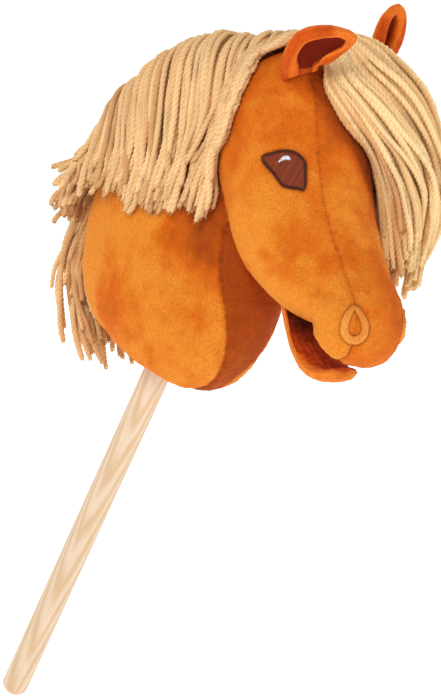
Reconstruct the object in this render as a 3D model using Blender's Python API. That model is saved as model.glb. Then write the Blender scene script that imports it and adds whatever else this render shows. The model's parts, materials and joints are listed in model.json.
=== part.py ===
"""A plush hobby horse: a stuffed velour head and neck on a round wooden stick.

Metres, +Z up along the stick, origin at the centre of the stick's flat lower end.
The nose points to -Y, the horse's left side is +X and its right side is -X.
"""

import math

import bmesh
import bpy
from mathutils import Vector
from mathutils.bvhtree import BVHTree

# The outlines, side views and yarn depths below are drawn in this unit, as on a paper pattern
PATTERN_UNIT = 0.001

# Stick and the sleeve that holds it inside the neck
STICK_DIAMETER = 0.025
STICK_VISIBLE = 0.374
STICK_INSERTION = 0.150
STICK_END_ROUND = 0.008
STICK_TOP_ROUND = 0.003
SLEEVE_WALL = 0.0018
SLEEVE_CAP = 0.003
STICK_CLEARANCE = 0.0003

# Plush skin over the stuffing
SKIN = 0.0022
LAYER_GAP = 0.0003
SEAM_GAP = 0.0004
NECK_OVER_HEAD_GAP = 0.0006

# Widest part of the neck, the head and the lower lip, measured across
NECK_WIDTH = 0.128
HEAD_WIDTH = 0.126
LIP_WIDTH = 0.060
SECTION_FULLNESS = 2.25

# Sewn-in strips: their widest parts, and the share of it that they narrow to
FACE_GUSSET_WIDTH = 0.070
FACE_GUSSET_NARROWING = 0.12
THROAT_GUSSET_WIDTH = 0.088
THROAT_GUSSET_FOOT = 0.26
NECK_BASE_ROWS = 3

# Side view of the neck: crest point, throat point and share of the full width.
# Each point is (y, z) on the pattern, with z measured up from the underside of the neck.
NECK_STATIONS = (
    ((40, 1), (-34, 2), 0.45),
    ((76, 10), (-62, 12), 0.74),
    ((106, 32), (-78, 40), 0.92),
    ((124, 66), (-84, 78), 1.00),
    ((133, 109), (-78, 114), 0.98),
    ((133, 158), (-66, 150), 0.94),
    ((121, 206), (-50, 190), 0.89),
    ((92, 247), (-42, 226), 0.82),
    ((55, 277), (-34, 252), 0.70),
    ((18, 290), (-26, 266), 0.48),
)
NECK_TOP = (-6, 284)

# Side view of the head: face point, jaw point and share of the full width
HEAD_BACK = (30, 248)
HEAD_STATIONS = (
    ((24, 280), (28, 218), 0.56),
    ((4, 304), (14, 190), 0.83),
    ((-28, 315), (-8, 166), 0.97),
    ((-60, 297), (-36, 146), 1.00),
    ((-87, 262), (-66, 131), 0.96),
    ((-110, 232), (-93, 124), 0.88),
    ((-136, 208), (-115, 123), 0.78),
    ((-163, 188), (-128, 125), 0.70),
    ((-188, 171), (-136, 127), 0.655),
    ((-200, 150), (-141, 128), 0.635),
    ((-201, 129), (-144, 129), 0.60),
    ((-191, 119), (-148, 130), 0.53),
)
PALATE_RISE = 0.008
MOUTH_LINING = 0.0012
GUSSET_FIRST_STATION = 2.6

# Side view of the lower lip: upper point, lower point and share of the full width
LIP_STATIONS = (
    ((-100, 143), (-98, 125), 0.72),
    ((-116, 133), (-119, 109), 0.90),
    ((-136, 117), (-141, 94), 1.00),
    ((-153, 107), (-158, 87), 0.98),
    ((-166, 105), (-170, 89), 0.86),
    ((-176, 108), (-179, 96), 0.60),
    ((-181.5, 104), (-181.5, 102.6), 0.06),
)
LIP_LINING_SHARE = 0.43
LIP_DISH = 0.003
LIP_STUFFING_LAST = 5.0
LIP_STUFFING_NOSE = 0.0015
LIP_THIN_SHARE = 0.18

# Ears: a cupped leaf whose sewn base line is the axis that it flops about
EAR_LENGTH = 0.074
EAR_WIDTH = 0.050
EAR_WALL = 0.0060
EAR_RIM = 0.0092
EAR_BASE_WIDTH = 0.034
EAR_BEAD_RADIUS = 0.0040
EAR_LINING = 0.0012
EAR_STATION = 2.36
EAR_SIDE_ANGLE = math.radians(35)
EAR_BASE_LINE = (0.78, -0.33, 0.53)
EAR_WIDEST = 0.36
EAR_CUP = (math.radians(12), math.radians(80), math.radians(42))

# Each ear: flop at the base, further curl to the tip, lean to the middle, outward twist, and
# the share of its inner half that is folded under
RIGHT_EAR = (math.radians(20), math.radians(69), math.radians(36), math.radians(54), 0.28)
LEFT_EAR = (math.radians(-23), math.radians(46), math.radians(41), math.radians(-10), 0.0)

# Yarn mane and forelock. Guides run from the crest down: neck station at the crest, station
# and angle from the crest at the lower end, thickness at both ends, stand-off at the lower end.
MANE_TAPE_WIDTH = 0.012
MANE_TAPE = 0.0012
MANE_TAPE_FIRST = 5.0
MANE_TAPE_LAST = 9.9
MANE_RIGHT = (
    (10.0, 5.75, 124, 17, 11, 0),
    (9.1, 5.55, 108, 18, 11, 0),
    (8.2, 5.35, 91, 18, 12, 0),
    (7.3, 5.20, 70, 20, 14, 1),
    (6.5, 4.90, 50, 23, 22, 5),
    (5.7, 4.40, 27, 28, 32, 10),
    (5.0, 4.00, 6, 34, 36, 16),
)
MANE_LEFT = (
    (10.0, 4.40, 120, 17, 11, 0),
    (9.1, 3.70, 104, 18, 12, 0),
    (8.2, 3.00, 88, 18, 14, 2),
    (7.3, 2.40, 70, 20, 18, 6),
    (6.5, 1.90, 50, 24, 24, 14),
    (5.7, 1.65, 28, 31, 26, 24),
    (5.0, 1.75, 6, 40, 28, 32),
)
MANE_CROWDING = 1.5
MANE_SWEEP = 1.1
MANE_FALL = 3.2
MANE_OFF_TAPE = (9, 24)
MANE_STANDS_OFF = (0.08, 0.65)
YARN_LIFT = 0.0012
YARN_OVER_TAPE = 0.0024

# Forelock: head station and angle of its near and far edges, and its thickness
FORELOCK_EDGES = (
    (1.75, -10, 1.75, 11, 13),
    (2.35, -14, 2.30, 12, 20),
    (2.90, -21, 2.90, 22, 26),
    (3.40, -13, 3.30, 52, 34),
    (3.90, 1, 3.70, 72, 42),
    (4.40, 16, 4.20, 87, 50),
    (4.85, 33, 4.75, 95, 52),
    (5.35, 47, 5.30, 99, 50),
    (5.95, 58, 5.80, 102, 46),
    (6.60, 66, 6.30, 103, 38),
)
FORELOCK_OVER_EYE = 0.0042
FORELOCK_EYE_REACH = (1.3, 40)
FORELOCK_THINNING = 0.45

# Appliques on the face, with outlines as (forward, up) from their middles
EYE_STATION = 3.83
EYE_SIDE_ANGLE = math.radians(65)
EYE_OUTLINE = (
    (-21, -2),
    (-15, 6.5),
    (-7, 12.8),
    (2, 15),
    (11, 12.5),
    (16.5, 4),
    (21.5, -7.5),
    (15, -10.8),
    (5, -13.5),
    (-7, -8.5),
)
APPLIQUE_LIFT = 0.0008
APPLIQUE_REACH = 0.05
EYE_PATCH = 0.0010
EYE_RIM = 0.0022
EYE_RIM_HEIGHT = 0.0016
GLINT_UPPER = ((-8.4, 1.4), (-7.0, 7.0), (-3.0, 10.1), (1.6, 9.4))
GLINT_LOWER = ((-7.4, 1.7), (-5.2, 5.4), (-2.5, 7.8), (1.2, 8.5))
GLINT = 0.0006
NOSTRIL_STATION = 8.62
NOSTRIL_SIDE_ANGLE = math.radians(51)
NOSTRIL_TILT = math.radians(25)
NOSTRIL_LENGTH = 0.0235
NOSTRIL_WIDTH = 0.0170
NOSTRIL_ROLL = 0.0072
NOSTRIL_ROLL_HEIGHT = 0.0032
NOSTRIL_INNER_WIDENING = 0.003
NOSTRIL_OUTER_WIDENING = 0.002
NOSTRIL_PATCH = 0.0014

# How finely the rounded forms are divided
NECK_ROWS = 24
HEAD_ROWS = 26
LIP_ROWS = 12
GUSSET_CELLS = 4
SIDE_CELLS = 11
LIP_STRIP_CELLS = 4
LIP_SIDE_CELLS = 5
EAR_CELLS = 10
MANE_CELLS = (15, 16)
FORELOCK_CELLS = (18, 9)
STUFFING_STEP = 2
EAR_ROWS = (0.0, 0.07, 0.15, 0.25, 0.37, 0.5, 0.63, 0.76, 0.87, 0.95, 0.99)
ROUND_SEGMENTS = 32


def clear_scene():
    for obj in list(bpy.data.objects):
        bpy.data.objects.remove(obj, do_unlink=True)


def material(name, colour, roughness, metallic=0.0):
    made = bpy.data.materials.new(name)
    made.use_nodes = True
    shader = made.node_tree.nodes["Principled BSDF"]
    shader.inputs["Base Color"].default_value = (*colour, 1.0)
    shader.inputs["Roughness"].default_value = roughness
    shader.inputs["Metallic"].default_value = metallic
    return made


def add_object(name, mesh, finish, smooth=True):
    obj = bpy.data.objects.new(name, mesh)
    bpy.context.scene.collection.objects.link(obj)
    if finish:
        mesh.materials.append(finish)
    if smooth:
        mesh.shade_smooth()
        mesh.set_sharp_from_angle(angle=math.radians(40))
    return obj


def mesh_from(name, points, faces):
    """A mesh with its faces turned outwards."""
    mesh = bpy.data.meshes.new(name)
    mesh.from_pydata([tuple(point) for point in points], [], faces)
    shape = bmesh.new()
    shape.from_mesh(mesh)
    bmesh.ops.recalc_face_normals(shape, faces=shape.faces)
    bmesh.ops.triangulate(shape, faces=[face for face in shape.faces if len(face.verts) > 4])
    shape.to_mesh(mesh)
    shape.free()
    return mesh


def as_cutter(obj):
    obj.hide_render = True
    obj.display_type = "WIRE"
    return obj


def cut(obj, cutter):
    modifier = obj.modifiers.new("Cut " + cutter.name, "BOOLEAN")
    modifier.operation = "DIFFERENCE"
    modifier.solver = "EXACT"
    modifier.object = cutter


def catmull(keys, at):
    """The value at a station number, on a smooth curve through all the keys."""
    last = len(keys) - 1
    at = min(max(at, 0.0), float(last))
    first = min(int(at), last - 1)
    t = at - first
    before = keys[first - 1] if first > 0 else keys[0] * 2 - keys[1]
    after = keys[first + 2] if first + 2 <= last else keys[last] * 2 - keys[last - 1]
    a, b = keys[first], keys[first + 1]
    return 0.5 * (
        2 * a
        + (b - before) * t
        + (2 * before - 5 * a + 4 * b - after) * t ** 2
        + (3 * a - before - 3 * b + after) * t ** 3
    )


def powered(value, power):
    return math.copysign(abs(value) ** power, value)


class RailLoft:
    """A rounded form swept between two rails of the side view, with a width for each station."""

    def __init__(self, stations, width, height):
        foot = Vector((0, 0, height))
        self.upper = [Vector((0, y, z)) * PATTERN_UNIT + foot for (y, z), _, _ in stations]
        self.lower = [Vector((0, y, z)) * PATTERN_UNIT + foot for _, (y, z), _ in stations]
        self.half = [Vector((share * width / 2, 0, 0)) for _, _, share in stations]
        self.last = len(stations) - 1

    def section(self, station):
        upper = catmull(self.upper, station)
        lower = catmull(self.lower, station)
        half = catmull(self.half, station).x
        return (upper + lower) / 2, (upper - lower) / 2, max(half, 0.0)

    def point(self, station, angle):
        centre, reach, half = self.section(station)
        power = 2 / SECTION_FULLNESS
        across = half * powered(math.sin(angle), power)
        return centre + reach * powered(math.cos(angle), power) + Vector((across, 0, 0))

    def angle_at_width(self, station, across):
        """The angle at which the section is this far from the middle plane."""
        half = self.section(station)[2]
        share = min(across / max(half, 1e-6), 0.94)
        return math.asin(share ** (SECTION_FULLNESS / 2))

    def normal(self, station, angle):
        step, turn = 0.04, 0.03
        inside = min(max(station, step), self.last - step)
        along = self.point(inside + step, angle) - self.point(inside - step, angle)
        around = self.point(inside, angle + turn) - self.point(inside, angle - turn)
        normal = around.cross(along).normalized()
        outward = self.point(inside, angle) - self.section(inside)[0]
        return normal if normal.dot(outward) > 0 else -normal


class Skin:
    """One grid over a loft. Every panel, layer and cutter on that loft is cut from it.

    A strip of cells lies on each side of the middle line at middle_angle, and the rest of each
    section is shared out evenly.
    """

    def __init__(self, loft, rows, strip_half_width, middle_angle, strip_cells, side_cells):
        self.loft = loft
        self.strip = strip_cells
        self.half_count = strip_cells + side_cells
        self.count = 2 * self.half_count
        self.rows = rows + 1
        self.stations = [loft.last * k / rows for k in range(self.rows)]
        self.angles = []
        for station in self.stations:
            edge = loft.angle_at_width(station, strip_half_width(station))
            if middle_angle:
                edge = min(edge, math.radians(52))
            half = [edge * k / strip_cells for k in range(strip_cells + 1)]
            rest = (math.pi - edge) / side_cells
            half += [edge + rest * k for k in range(1, side_cells + 1)]
            ring = half + [2 * math.pi - angle for angle in half[-2:0:-1]]
            self.angles.append([angle + middle_angle for angle in ring])
        self.base = [
            [loft.point(station, angle) for angle in ring]
            for station, ring in zip(self.stations, self.angles)
        ]
        self.normals = [
            [loft.normal(station, angle) for angle in ring]
            for station, ring in zip(self.stations, self.angles)
        ]

    def row_of(self, station):
        return round(station / self.loft.last * (self.rows - 1))

    def at(self, row, column, depth):
        column %= self.count
        return self.base[row][column] - self.normals[row][column] * depth

    def closed(self, name, depth, first_pole, last_rings, rows=None):
        """The whole form as one closed solid, this deep under the skin.

        last_rings are further rings that close its far end, the last of them a single point.
        rows are the rows of the grid that it takes, where that isn't all of them.
        """
        deep = depth if callable(depth) else lambda i, j: depth
        rows = list(rows or range(self.rows))
        rings = [[self.at(i, j, deep(i, j)) for j in range(self.count)] for i in rows]
        rings += last_rings[:-1]
        points = [point for ring in rings for point in ring] + [first_pole, last_rings[-1]]
        faces = []
        for i in range(len(rings) - 1):
            for j in range(self.count):
                k = (j + 1) % self.count
                a, b = i * self.count, (i + 1) * self.count
                faces += [(a + j, a + k, b + k), (a + j, b + k, b + j)]
        for tip, row in ((len(points) - 2, 0), (len(points) - 1, len(rings) - 1)):
            first = row * self.count
            for j in range(self.count):
                faces.append((first + j, first + (j + 1) % self.count, tip))
        return mesh_from(name, points, faces)

    def panel(self, name, cells, outer, inner):
        """A layer over some cells, drawn back by half a seam gap along its edges.

        outer and inner are depths under the skin, or functions of row and column.
        """
        outer_at = outer if callable(outer) else lambda i, j: outer
        inner_at = inner if callable(inner) else lambda i, j: inner
        cells = [(i, j % self.count) for i, j in cells]
        around = {}
        edges = set()
        for i, j in cells:
            k = (j + 1) % self.count
            ring = ((i, j), (i, k), (i + 1, k), (i + 1, j))
            for a, b in zip(ring, ring[1:] + ring[:1]):
                edges.add((a, b))
                around.setdefault(a, []).append(ring)
        rim = [(a, b) for a, b in edges if (b, a) not in edges]
        on_rim = {corner for edge in rim for corner in edge}
        order = {corner: k for k, corner in enumerate(around)}
        points = []
        for layer in (outer_at, inner_at):
            for corner, rings in around.items():
                here = self.at(*corner, layer(*corner))
                if corner in on_rim:
                    near = [self.at(*other, layer(*other)) for ring in rings for other in ring]
                    middle = sum(near, Vector()) / len(near)
                    here = here + (middle - here).normalized() * SEAM_GAP / 2
                points.append(here)
        size = len(around)
        faces = []
        for i, j in cells:
            k = (j + 1) % self.count
            a, b = order[(i, j)], order[(i, k)]
            c, d = order[(i + 1, k)], order[(i + 1, j)]
            faces += [(a, b, c), (a, c, d)]
            faces += [(size + c, size + b, size + a), (size + d, size + c, size + a)]
        for a, b in rim:
            faces.append((order[b], order[a], order[a] + size, order[b] + size))
        return mesh_from(name, points, faces)


def blend_between(value, low, high):
    """0 below low, 1 above high, and a smooth rise between."""
    t = min(max((value - low) / (high - low), 0.0), 1.0)
    return t * t * (3 - 2 * t)


def side_point(place):
    """A point of the side view in the middle plane."""
    return Vector((0, *place)) * PATTERN_UNIT + Vector((0, 0, STICK_VISIBLE))


def cap_rings(skin, depth, middle, lift, rise, count=3):
    """Rings that close the far end of a form with a shallow dome over its last section."""
    rim = [skin.at(skin.rows - 1, j, depth) for j in range(skin.count)]
    rings = []
    for k in range(count + 1):
        share = 1 - k / count
        up = lift + rise * (1 - share ** 2)
        rings.append([middle + (point - middle) * share + up for point in rim])
    return rings[:-1] + [rings[-1][0]]


def throat_strip(station):
    share = THROAT_GUSSET_FOOT + (1 - THROAT_GUSSET_FOOT) * blend_between(station, 2.2, 5.6)
    return THROAT_GUSSET_WIDTH / 2 * share


def face_strip(station):
    narrow = blend_between(station, 4.2, 7.0) + 1 - blend_between(station, 2.2, 3.6)
    narrow += blend_between(station, 9.0, 11.0)
    return FACE_GUSSET_WIDTH / 2 * (1 - FACE_GUSSET_NARROWING * narrow)


def lip_strip(station):
    share = catmull([Vector((share, 0)) for _, _, share in LIP_STATIONS], station).x
    return share * LIP_WIDTH * LIP_LINING_SHARE


def turned(name, profile, finish):
    """A round piece on the stick's axis, from (radius, height) points, closed along the axis."""
    points = []
    rings = []
    for radius, height in profile:
        if radius == 0:
            rings.append([len(points)] * ROUND_SEGMENTS)
            points.append(Vector((0, 0, height)))
            continue
        rings.append([len(points) + k for k in range(ROUND_SEGMENTS)])
        for k in range(ROUND_SEGMENTS):
            turn = 2 * math.pi * k / ROUND_SEGMENTS
            points.append(Vector((radius * math.cos(turn), radius * math.sin(turn), height)))
    faces = []
    pairs = list(zip(rings, rings[1:]))
    if profile[0][0] != 0:
        pairs.append((rings[-1], rings[0]))
    for low, high in pairs:
        for k in range(ROUND_SEGMENTS):
            n = (k + 1) % ROUND_SEGMENTS
            corners = [low[k], low[n], high[n], high[k]]
            faces.append(tuple(dict.fromkeys(corners)))
    return add_object(name, mesh_from(name, points, faces), finish)


def quarter(radius, corner, rounding, up, count=5):
    """Profile points of a rounded edge, from the flat end to the side or back."""
    points = []
    for k in range(count + 1):
        turn = math.pi / 2 * k / count
        out = radius - rounding + rounding * math.sin(turn)
        points.append((out, corner + up * rounding * (1 - math.cos(turn))))
    return points


def add_turned_pieces():
    radius = STICK_DIAMETER / 2
    top = STICK_VISIBLE + STICK_INSERTION
    lower_edge = quarter(radius, 0.0, STICK_END_ROUND, 1)
    upper_edge = quarter(radius, top, STICK_TOP_ROUND, -1)
    turned("stick", [(0, 0.0), *lower_edge, *reversed(upper_edge), (0, top)], WOOD)
    bore = radius + STICK_CLEARANCE
    outside = bore + SLEEVE_WALL
    inside_top = top + STICK_CLEARANCE
    foot = STICK_VISIBLE + SKIN + 3 * LAYER_GAP
    profile = [(0, inside_top), (bore, inside_top), (bore, foot), (outside, foot)]
    profile += [(outside, inside_top + SLEEVE_CAP), (0, inside_top + SLEEVE_CAP)]
    turned("stick_sleeve", profile, TUBE)
    wide = outside + LAYER_GAP
    high = inside_top + SLEEVE_CAP + LAYER_GAP
    low = STICK_VISIBLE - SKIN
    return as_cutter(turned("sleeve_bore", [(0, low), (wide, low), (wide, high), (0, high)], None))


def add_panel(skin, name, cells, finish, outer=0.0, inner=None):
    return add_object(name, skin.panel(name, cells, outer, SKIN if inner is None else inner), finish)


def mirrored(skin, cells):
    return [(i, skin.count - 1 - j) for i, j in cells]


def add_neck(head_volume, bore):
    stuffing = SKIN + LAYER_GAP
    foot = Vector((0, 0, STICK_VISIBLE + stuffing))
    layers = range(0, neck.rows, STUFFING_STEP)
    deep = stuffing + LAYER_GAP
    filling = neck.closed("neck_stuffing", deep, foot, [side_point(NECK_TOP)], layers)
    filling = add_object("neck_stuffing", filling, FILL)
    cut(filling, bore)
    rows = range(NECK_BASE_ROWS, neck.rows - 1)
    base = [(i, j) for i in range(NECK_BASE_ROWS) for j in range(neck.count)]
    throat = [(i, j) for i in rows for j in range(-neck.strip, neck.strip)]
    right = [(i, j) for i in rows for j in range(neck.strip, neck.half_count)]
    add_panel(neck, "neck_base", base, PLUSH)
    pieces = [
        filling,
        add_panel(neck, "throat_gusset", throat, DARK_PLUSH),
        add_panel(neck, "neck_side_right", right, PLUSH),
        add_panel(neck, "neck_side_left", mirrored(neck, right), PLUSH),
    ]
    for piece in pieces:
        cut(piece, head_volume)


def palate_frame():
    """The middle of the mouth's roof and the direction into the head."""
    front, corner = head.loft.upper[-1], head.loft.lower[-1]
    along = (front - corner).normalized()
    return (front + corner) / 2, Vector((0, along.z, -along.y))


def add_head():
    stuffing = SKIN + LAYER_GAP
    middle, into = palate_frame()
    roof = cap_rings(head, stuffing, middle, into * (MOUTH_LINING + LAYER_GAP), into * PALATE_RISE)
    back = side_point(HEAD_BACK) - Vector((0, stuffing, 0))
    filling = head.closed("head_stuffing", stuffing, back, roof, range(head.rows - 1))
    add_object("head_stuffing", filling, FILL)
    first = head.row_of(GUSSET_FIRST_STATION)
    face = [(i, j) for i in range(first, head.rows - 1) for j in range(-head.strip, head.strip)]
    left = [(i, j) for i in range(first) for j in range(head.half_count)]
    left += [
        (i, j)
        for i in range(first, head.rows - 1)
        for j in range(head.strip, head.half_count)
    ]
    add_panel(head, "face_gusset", face, PLUSH)
    add_panel(head, "head_side_left", left, PLUSH)
    add_panel(head, "head_side_right", mirrored(head, left), PLUSH)
    below = cap_rings(head, stuffing, middle, Vector(), into * PALATE_RISE)
    above = cap_rings(head, stuffing, middle, into * MOUTH_LINING, into * PALATE_RISE)
    add_object("mouth_roof_lining", layered_disc("mouth_roof_lining", below, above), LINING)


def layered_disc(name, below, above):
    """A thin layer between two stacks of rings, each ending in its middle point."""
    count = len(below[0])
    points = []
    faces = []
    for stack in (below, above):
        start = len(points)
        for ring in stack[:-1]:
            points += ring
        points.append(stack[-1])
        for i in range(len(stack) - 2):
            for j in range(count):
                k = (j + 1) % count
                a, b = start + i * count, start + (i + 1) * count
                faces += [(a + j, a + k, b + k), (a + j, b + k, b + j)]
        last = start + (len(stack) - 2) * count
        for j in range(count):
            faces.append((last + j, last + (j + 1) % count, len(points) - 1))
    other = len(points) // 2
    for j in range(count):
        k = (j + 1) % count
        faces.append((j, k, other + k, other + j))
    return mesh_from(name, points, faces)


def lip_dish(row, column):
    """How far the inside of the lower lip is hollowed below its loft."""
    column = (column + lip.half_count) % lip.count - lip.half_count
    across = max(1 - (column / lip.strip) ** 2, 0.0)
    along = blend_between(lip.stations[row], 0.0, 1.5)
    fade = 1 - blend_between(lip.stations[row], 4.0, 5.6)
    return LIP_DISH * across * along * fade


def lip_skin(row, column):
    """The lip's covering, thinner where the lip itself is thin."""
    _, reach, half = lip.loft.section(lip.stations[row])
    return min(SKIN, LIP_THIN_SHARE * min(reach.length, half))


def add_lower_lip(head_volume):
    stuffing = SKIN + LAYER_GAP
    last = lip.row_of(LIP_STUFFING_LAST)
    ends = [lip.loft.section(lip.stations[row])[0] for row in (0, last)]
    tip = ends[1] + Vector((0, -LIP_STUFFING_NOSE, 0))
    filling = lip.closed(
        "lower_lip_stuffing", lambda i, j: lip_dish(i, j) + stuffing,
        ends[0], [tip], range(last + 1),
    )
    rows = range(lip.rows - 1)
    inside = [(i, j) for i in rows for j in range(-lip.strip, lip.strip)]
    around = [(i, j) for i in rows for j in range(lip.strip, lip.count - lip.strip)]
    below_dish = lambda i, j: lip_dish(i, j) + lip_skin(i, j)
    cover = lip.panel("lower_lip_cover", around, 0.0, lip_skin)
    lining = lip.panel("lower_lip_lining", inside, lip_dish, below_dish)
    pieces = [
        add_object("lower_lip_stuffing", filling, FILL),
        add_object("lower_lip_cover", cover, PLUSH),
        add_object("lower_lip_lining", lining, LINING),
    ]
    for piece in pieces:
        cut(piece, head_volume)


def ear_width(share):
    """Half the leaf's width, flattened out, from its base at 0 to its tip at 1."""
    if share < EAR_WIDEST:
        rise = blend_between(share, 0.0, EAR_WIDEST)
        return EAR_BASE_WIDTH / 2 + (EAR_WIDTH - EAR_BASE_WIDTH) / 2 * rise
    t = (share - EAR_WIDEST) / (1 - EAR_WIDEST)
    return EAR_WIDTH / 2 * (1 - t ** 2.2) ** 0.55


def ear_cup(share):
    """Half the angle that the leaf's section is curled through."""
    base, middle, tip = EAR_CUP
    open_up = base + (middle - base) * blend_between(share, 0.0, 0.4)
    return open_up - (middle - tip) * blend_between(share, 0.55, 1.0)


class Ear:
    """A cupped leaf, in coordinates from the middle of its hinge line."""

    def __init__(self, side, flop, curl, lean, twist, tuck):
        self.side = side
        self.tuck = tuck
        self.flop, self.curl, self.lean, self.twist = flop, curl, lean, twist
        angle = side * EAR_SIDE_ANGLE
        seat = head.loft.point(EAR_STATION, angle)
        out = head.loft.normal(EAR_STATION, angle)
        line = Vector((-side * EAR_BASE_LINE[0], EAR_BASE_LINE[1], EAR_BASE_LINE[2]))
        self.axis = (line - out * line.dot(out)).normalized()
        upright = Vector((0, 0, 1))
        self.up = (upright - self.axis * upright.dot(self.axis)).normalized()
        self.front = self.axis.cross(self.up)
        if self.front.y > 0:
            self.front = -self.front
        self.origin = seat + out * (EAR_BEAD_RADIUS + LAYER_GAP)

    def frame(self, share):
        """Directions at a share of the length: along the leaf, across it, and out of its cup."""
        turn = self.flop + self.curl * share
        along = self.up * math.cos(turn) + self.front * math.sin(turn)
        ahead = self.front * math.cos(turn) - self.up * math.sin(turn)
        lean = self.lean * blend_between(share, -0.2, 0.9)
        up = along * math.cos(lean) + self.axis * math.sin(lean)
        across = self.axis * math.cos(lean) - along * math.sin(lean)
        twist = self.twist * blend_between(share, 0.05, 0.6)
        opening = ahead * math.cos(twist) - across * math.sin(twist)
        across = across * math.cos(twist) + ahead * math.sin(twist)
        return up, across, opening

    def spine(self, share):
        steps = 24
        place = Vector()
        for k in range(steps):
            place += self.frame(share * (k + 0.5) / steps)[0] * EAR_LENGTH * share / steps
        return place

    def folded(self, across):
        """A place across the leaf once its inner half is folded under."""
        return across * (1 - self.tuck) if across > 0 else across

    def on_leaf(self, share, across, lift):
        """A point of the leaf. lift is measured into the cup from the middle of its wall."""
        _, sideways, opening = self.frame(share)
        across = self.folded(across)
        cup = ear_cup(share)
        radius = ear_width(share) / cup
        reach = radius - lift
        place = self.spine(share) + sideways * reach * math.sin(cup * across)
        return place + opening * (radius - reach * math.cos(cup * across))

    def bead_radius(self, across):
        """How far the base may reach from the axis before it meets the head."""
        place = self.origin + self.axis * (self.folded(across) * EAR_BASE_WIDTH / 2)
        return head_surface.find_nearest(place)[3] - LAYER_GAP

    def half_wall(self, share, across):
        grow = blend_between(share, 0.0, 0.22)
        rim = blend_between(abs(across), 0.5, 0.9)
        wall = (EAR_WALL + (EAR_RIM - EAR_WALL) * rim) / 2
        wall *= 1 - 0.35 * blend_between(share, 0.6, 1.0)
        bead = self.bead_radius(across)
        rounding = 1 - 0.5 * max(abs(across) - 0.8, 0) / 0.2 * grow
        return (bead + (wall - bead) * grow) * rounding

    def leaf(self, name):
        across = [-1 + 2 * k / EAR_CELLS for k in range(EAR_CELLS + 1)]
        loop = [(-1, u) for u in across] + [(1, u) for u in reversed(across)]
        along, _, ahead = self.frame(0.0)
        rings = []
        for turn in (math.radians(72), math.radians(48), math.radians(24)):
            ring = []
            for side, u in loop:
                out = ahead * side * math.cos(turn) - along * math.sin(turn)
                base = self.axis * (self.folded(u) * EAR_BASE_WIDTH / 2)
                ring.append(base + out * self.bead_radius(u))
            rings.append(ring)
        for share in EAR_ROWS:
            rings.append([self.on_leaf(share, u, side * self.half_wall(share, u)) for side, u in loop])
        count = len(loop)
        points = [point for ring in rings for point in ring]
        faces = []
        for i in range(len(rings) - 1):
            for j in range(count):
                k = (j + 1) % count
                a, b = i * count, (i + 1) * count
                faces += [(a + j, a + k, b + k), (a + j, b + k, b + j)]
        for start in (0, (len(rings) - 1) * count):
            for j in range(EAR_CELLS):
                other = count - 1 - j
                faces.append((start + j, start + j + 1, start + other - 1, start + other))
        return mesh_from(name, points, faces)

    def lining(self, name):
        shares = EAR_ROWS[3:-2]
        across = [1 - 2 * k / EAR_CELLS for k in range(2, EAR_CELLS - 1)]
        points = []
        for lift in (LAYER_GAP, LAYER_GAP + EAR_LINING):
            for share in shares:
                for u in across:
                    points.append(self.on_leaf(share, u, self.half_wall(share, u) + lift))
        return mesh_from(name, points, slab_faces(len(shares), len(across)))


def slab_faces(rows, columns):
    """Faces of a thin slab whose two sides are grids of points, one after the other."""
    size = rows * columns
    faces = []
    rim = []
    for i in range(rows - 1):
        for j in range(columns - 1):
            a = i * columns + j
            b, c, d = a + 1, a + columns + 1, a + columns
            faces += [(a, b, c), (a, c, d)]
            faces += [(size + c, size + b, size + a), (size + d, size + c, size + a)]
    rim += [(j, j + 1) for j in range(columns - 1)]
    rim += [((i + 1) * columns - 1, (i + 2) * columns - 1) for i in range(rows - 1)]
    rim += [(size - 1 - j, size - 2 - j) for j in range(columns - 1)]
    rim += [((rows - 1 - i) * columns, (rows - 2 - i) * columns) for i in range(rows - 1)]
    faces += [(a, b, b + size, a + size) for a, b in rim]
    return faces


def add_ears():
    for side, name, pose in ((-1, "right_ear", RIGHT_EAR), (1, "left_ear", LEFT_EAR)):
        ear = Ear(side, *pose)
        leaf = add_object(name, ear.leaf(name), PLUSH)
        lining = add_object(name + "_lining", ear.lining(name + "_lining"), DARK_PLUSH)
        leaf.location = ear.origin
        lining.location = ear.origin
        print(name, "axis through", [round(v, 5) for v in ear.origin], "along",
              [round(v, 5) for v in ear.axis])


class Patch:
    """A place on the head that flat outlines are laid on, forward and up from its middle."""

    def __init__(self, station, angle):
        self.middle = head.loft.point(station, -angle)
        self.out = head.loft.normal(station, -angle)
        self.up = (Vector((0, 0, 1)) - self.out * self.out.z).normalized()
        self.forward = self.up.cross(self.out)

    def at(self, forward, up, lift):
        start = self.middle + self.forward * forward + self.up * up + self.out * APPLIQUE_REACH
        hit = head_surface.ray_cast(start, -self.out)[0]
        return hit + self.out * (APPLIQUE_LIFT + lift)

    def disc(self, outline, shares, low, high):
        """A patch that fills an outline, from its edge in to its middle."""
        middle = sum((Vector(point) for point in outline), Vector((0, 0))) / len(outline)
        stacks = []
        for lift in (low, high):
            rings = []
            for share in shares:
                ring = [middle + (Vector(point) - middle) * share for point in outline]
                rings.append([self.at(u, v, lift) for u, v in ring])
            stacks.append(rings + [self.at(*middle, lift)])
        return stacks

    def roll(self, inner, outer, low, height):
        """A padded ring between two outlines, flat below and rounded above."""
        profile = [(0.0, 0.0), (0.5, 0.0), (1.0, 0.0)]
        for k in range(1, 6):
            turn = math.pi * k / 6
            profile.append((0.5 + 0.5 * math.cos(turn), math.sin(turn)))
        rings = []
        for a, b in zip(inner, outer):
            ring = []
            for across, up in profile:
                u, v = Vector(a).lerp(Vector(b), across)
                ring.append(self.at(u, v, low + height * up))
            rings.append(ring)
        count = len(profile)
        points = [point for ring in rings for point in ring]
        faces = []
        for i in range(len(rings)):
            for j in range(count):
                a, b = i * count, (i + 1) % len(rings) * count
                k = (j + 1) % count
                faces.append((a + j, a + k, b + k, b + j))
        return points, faces


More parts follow.
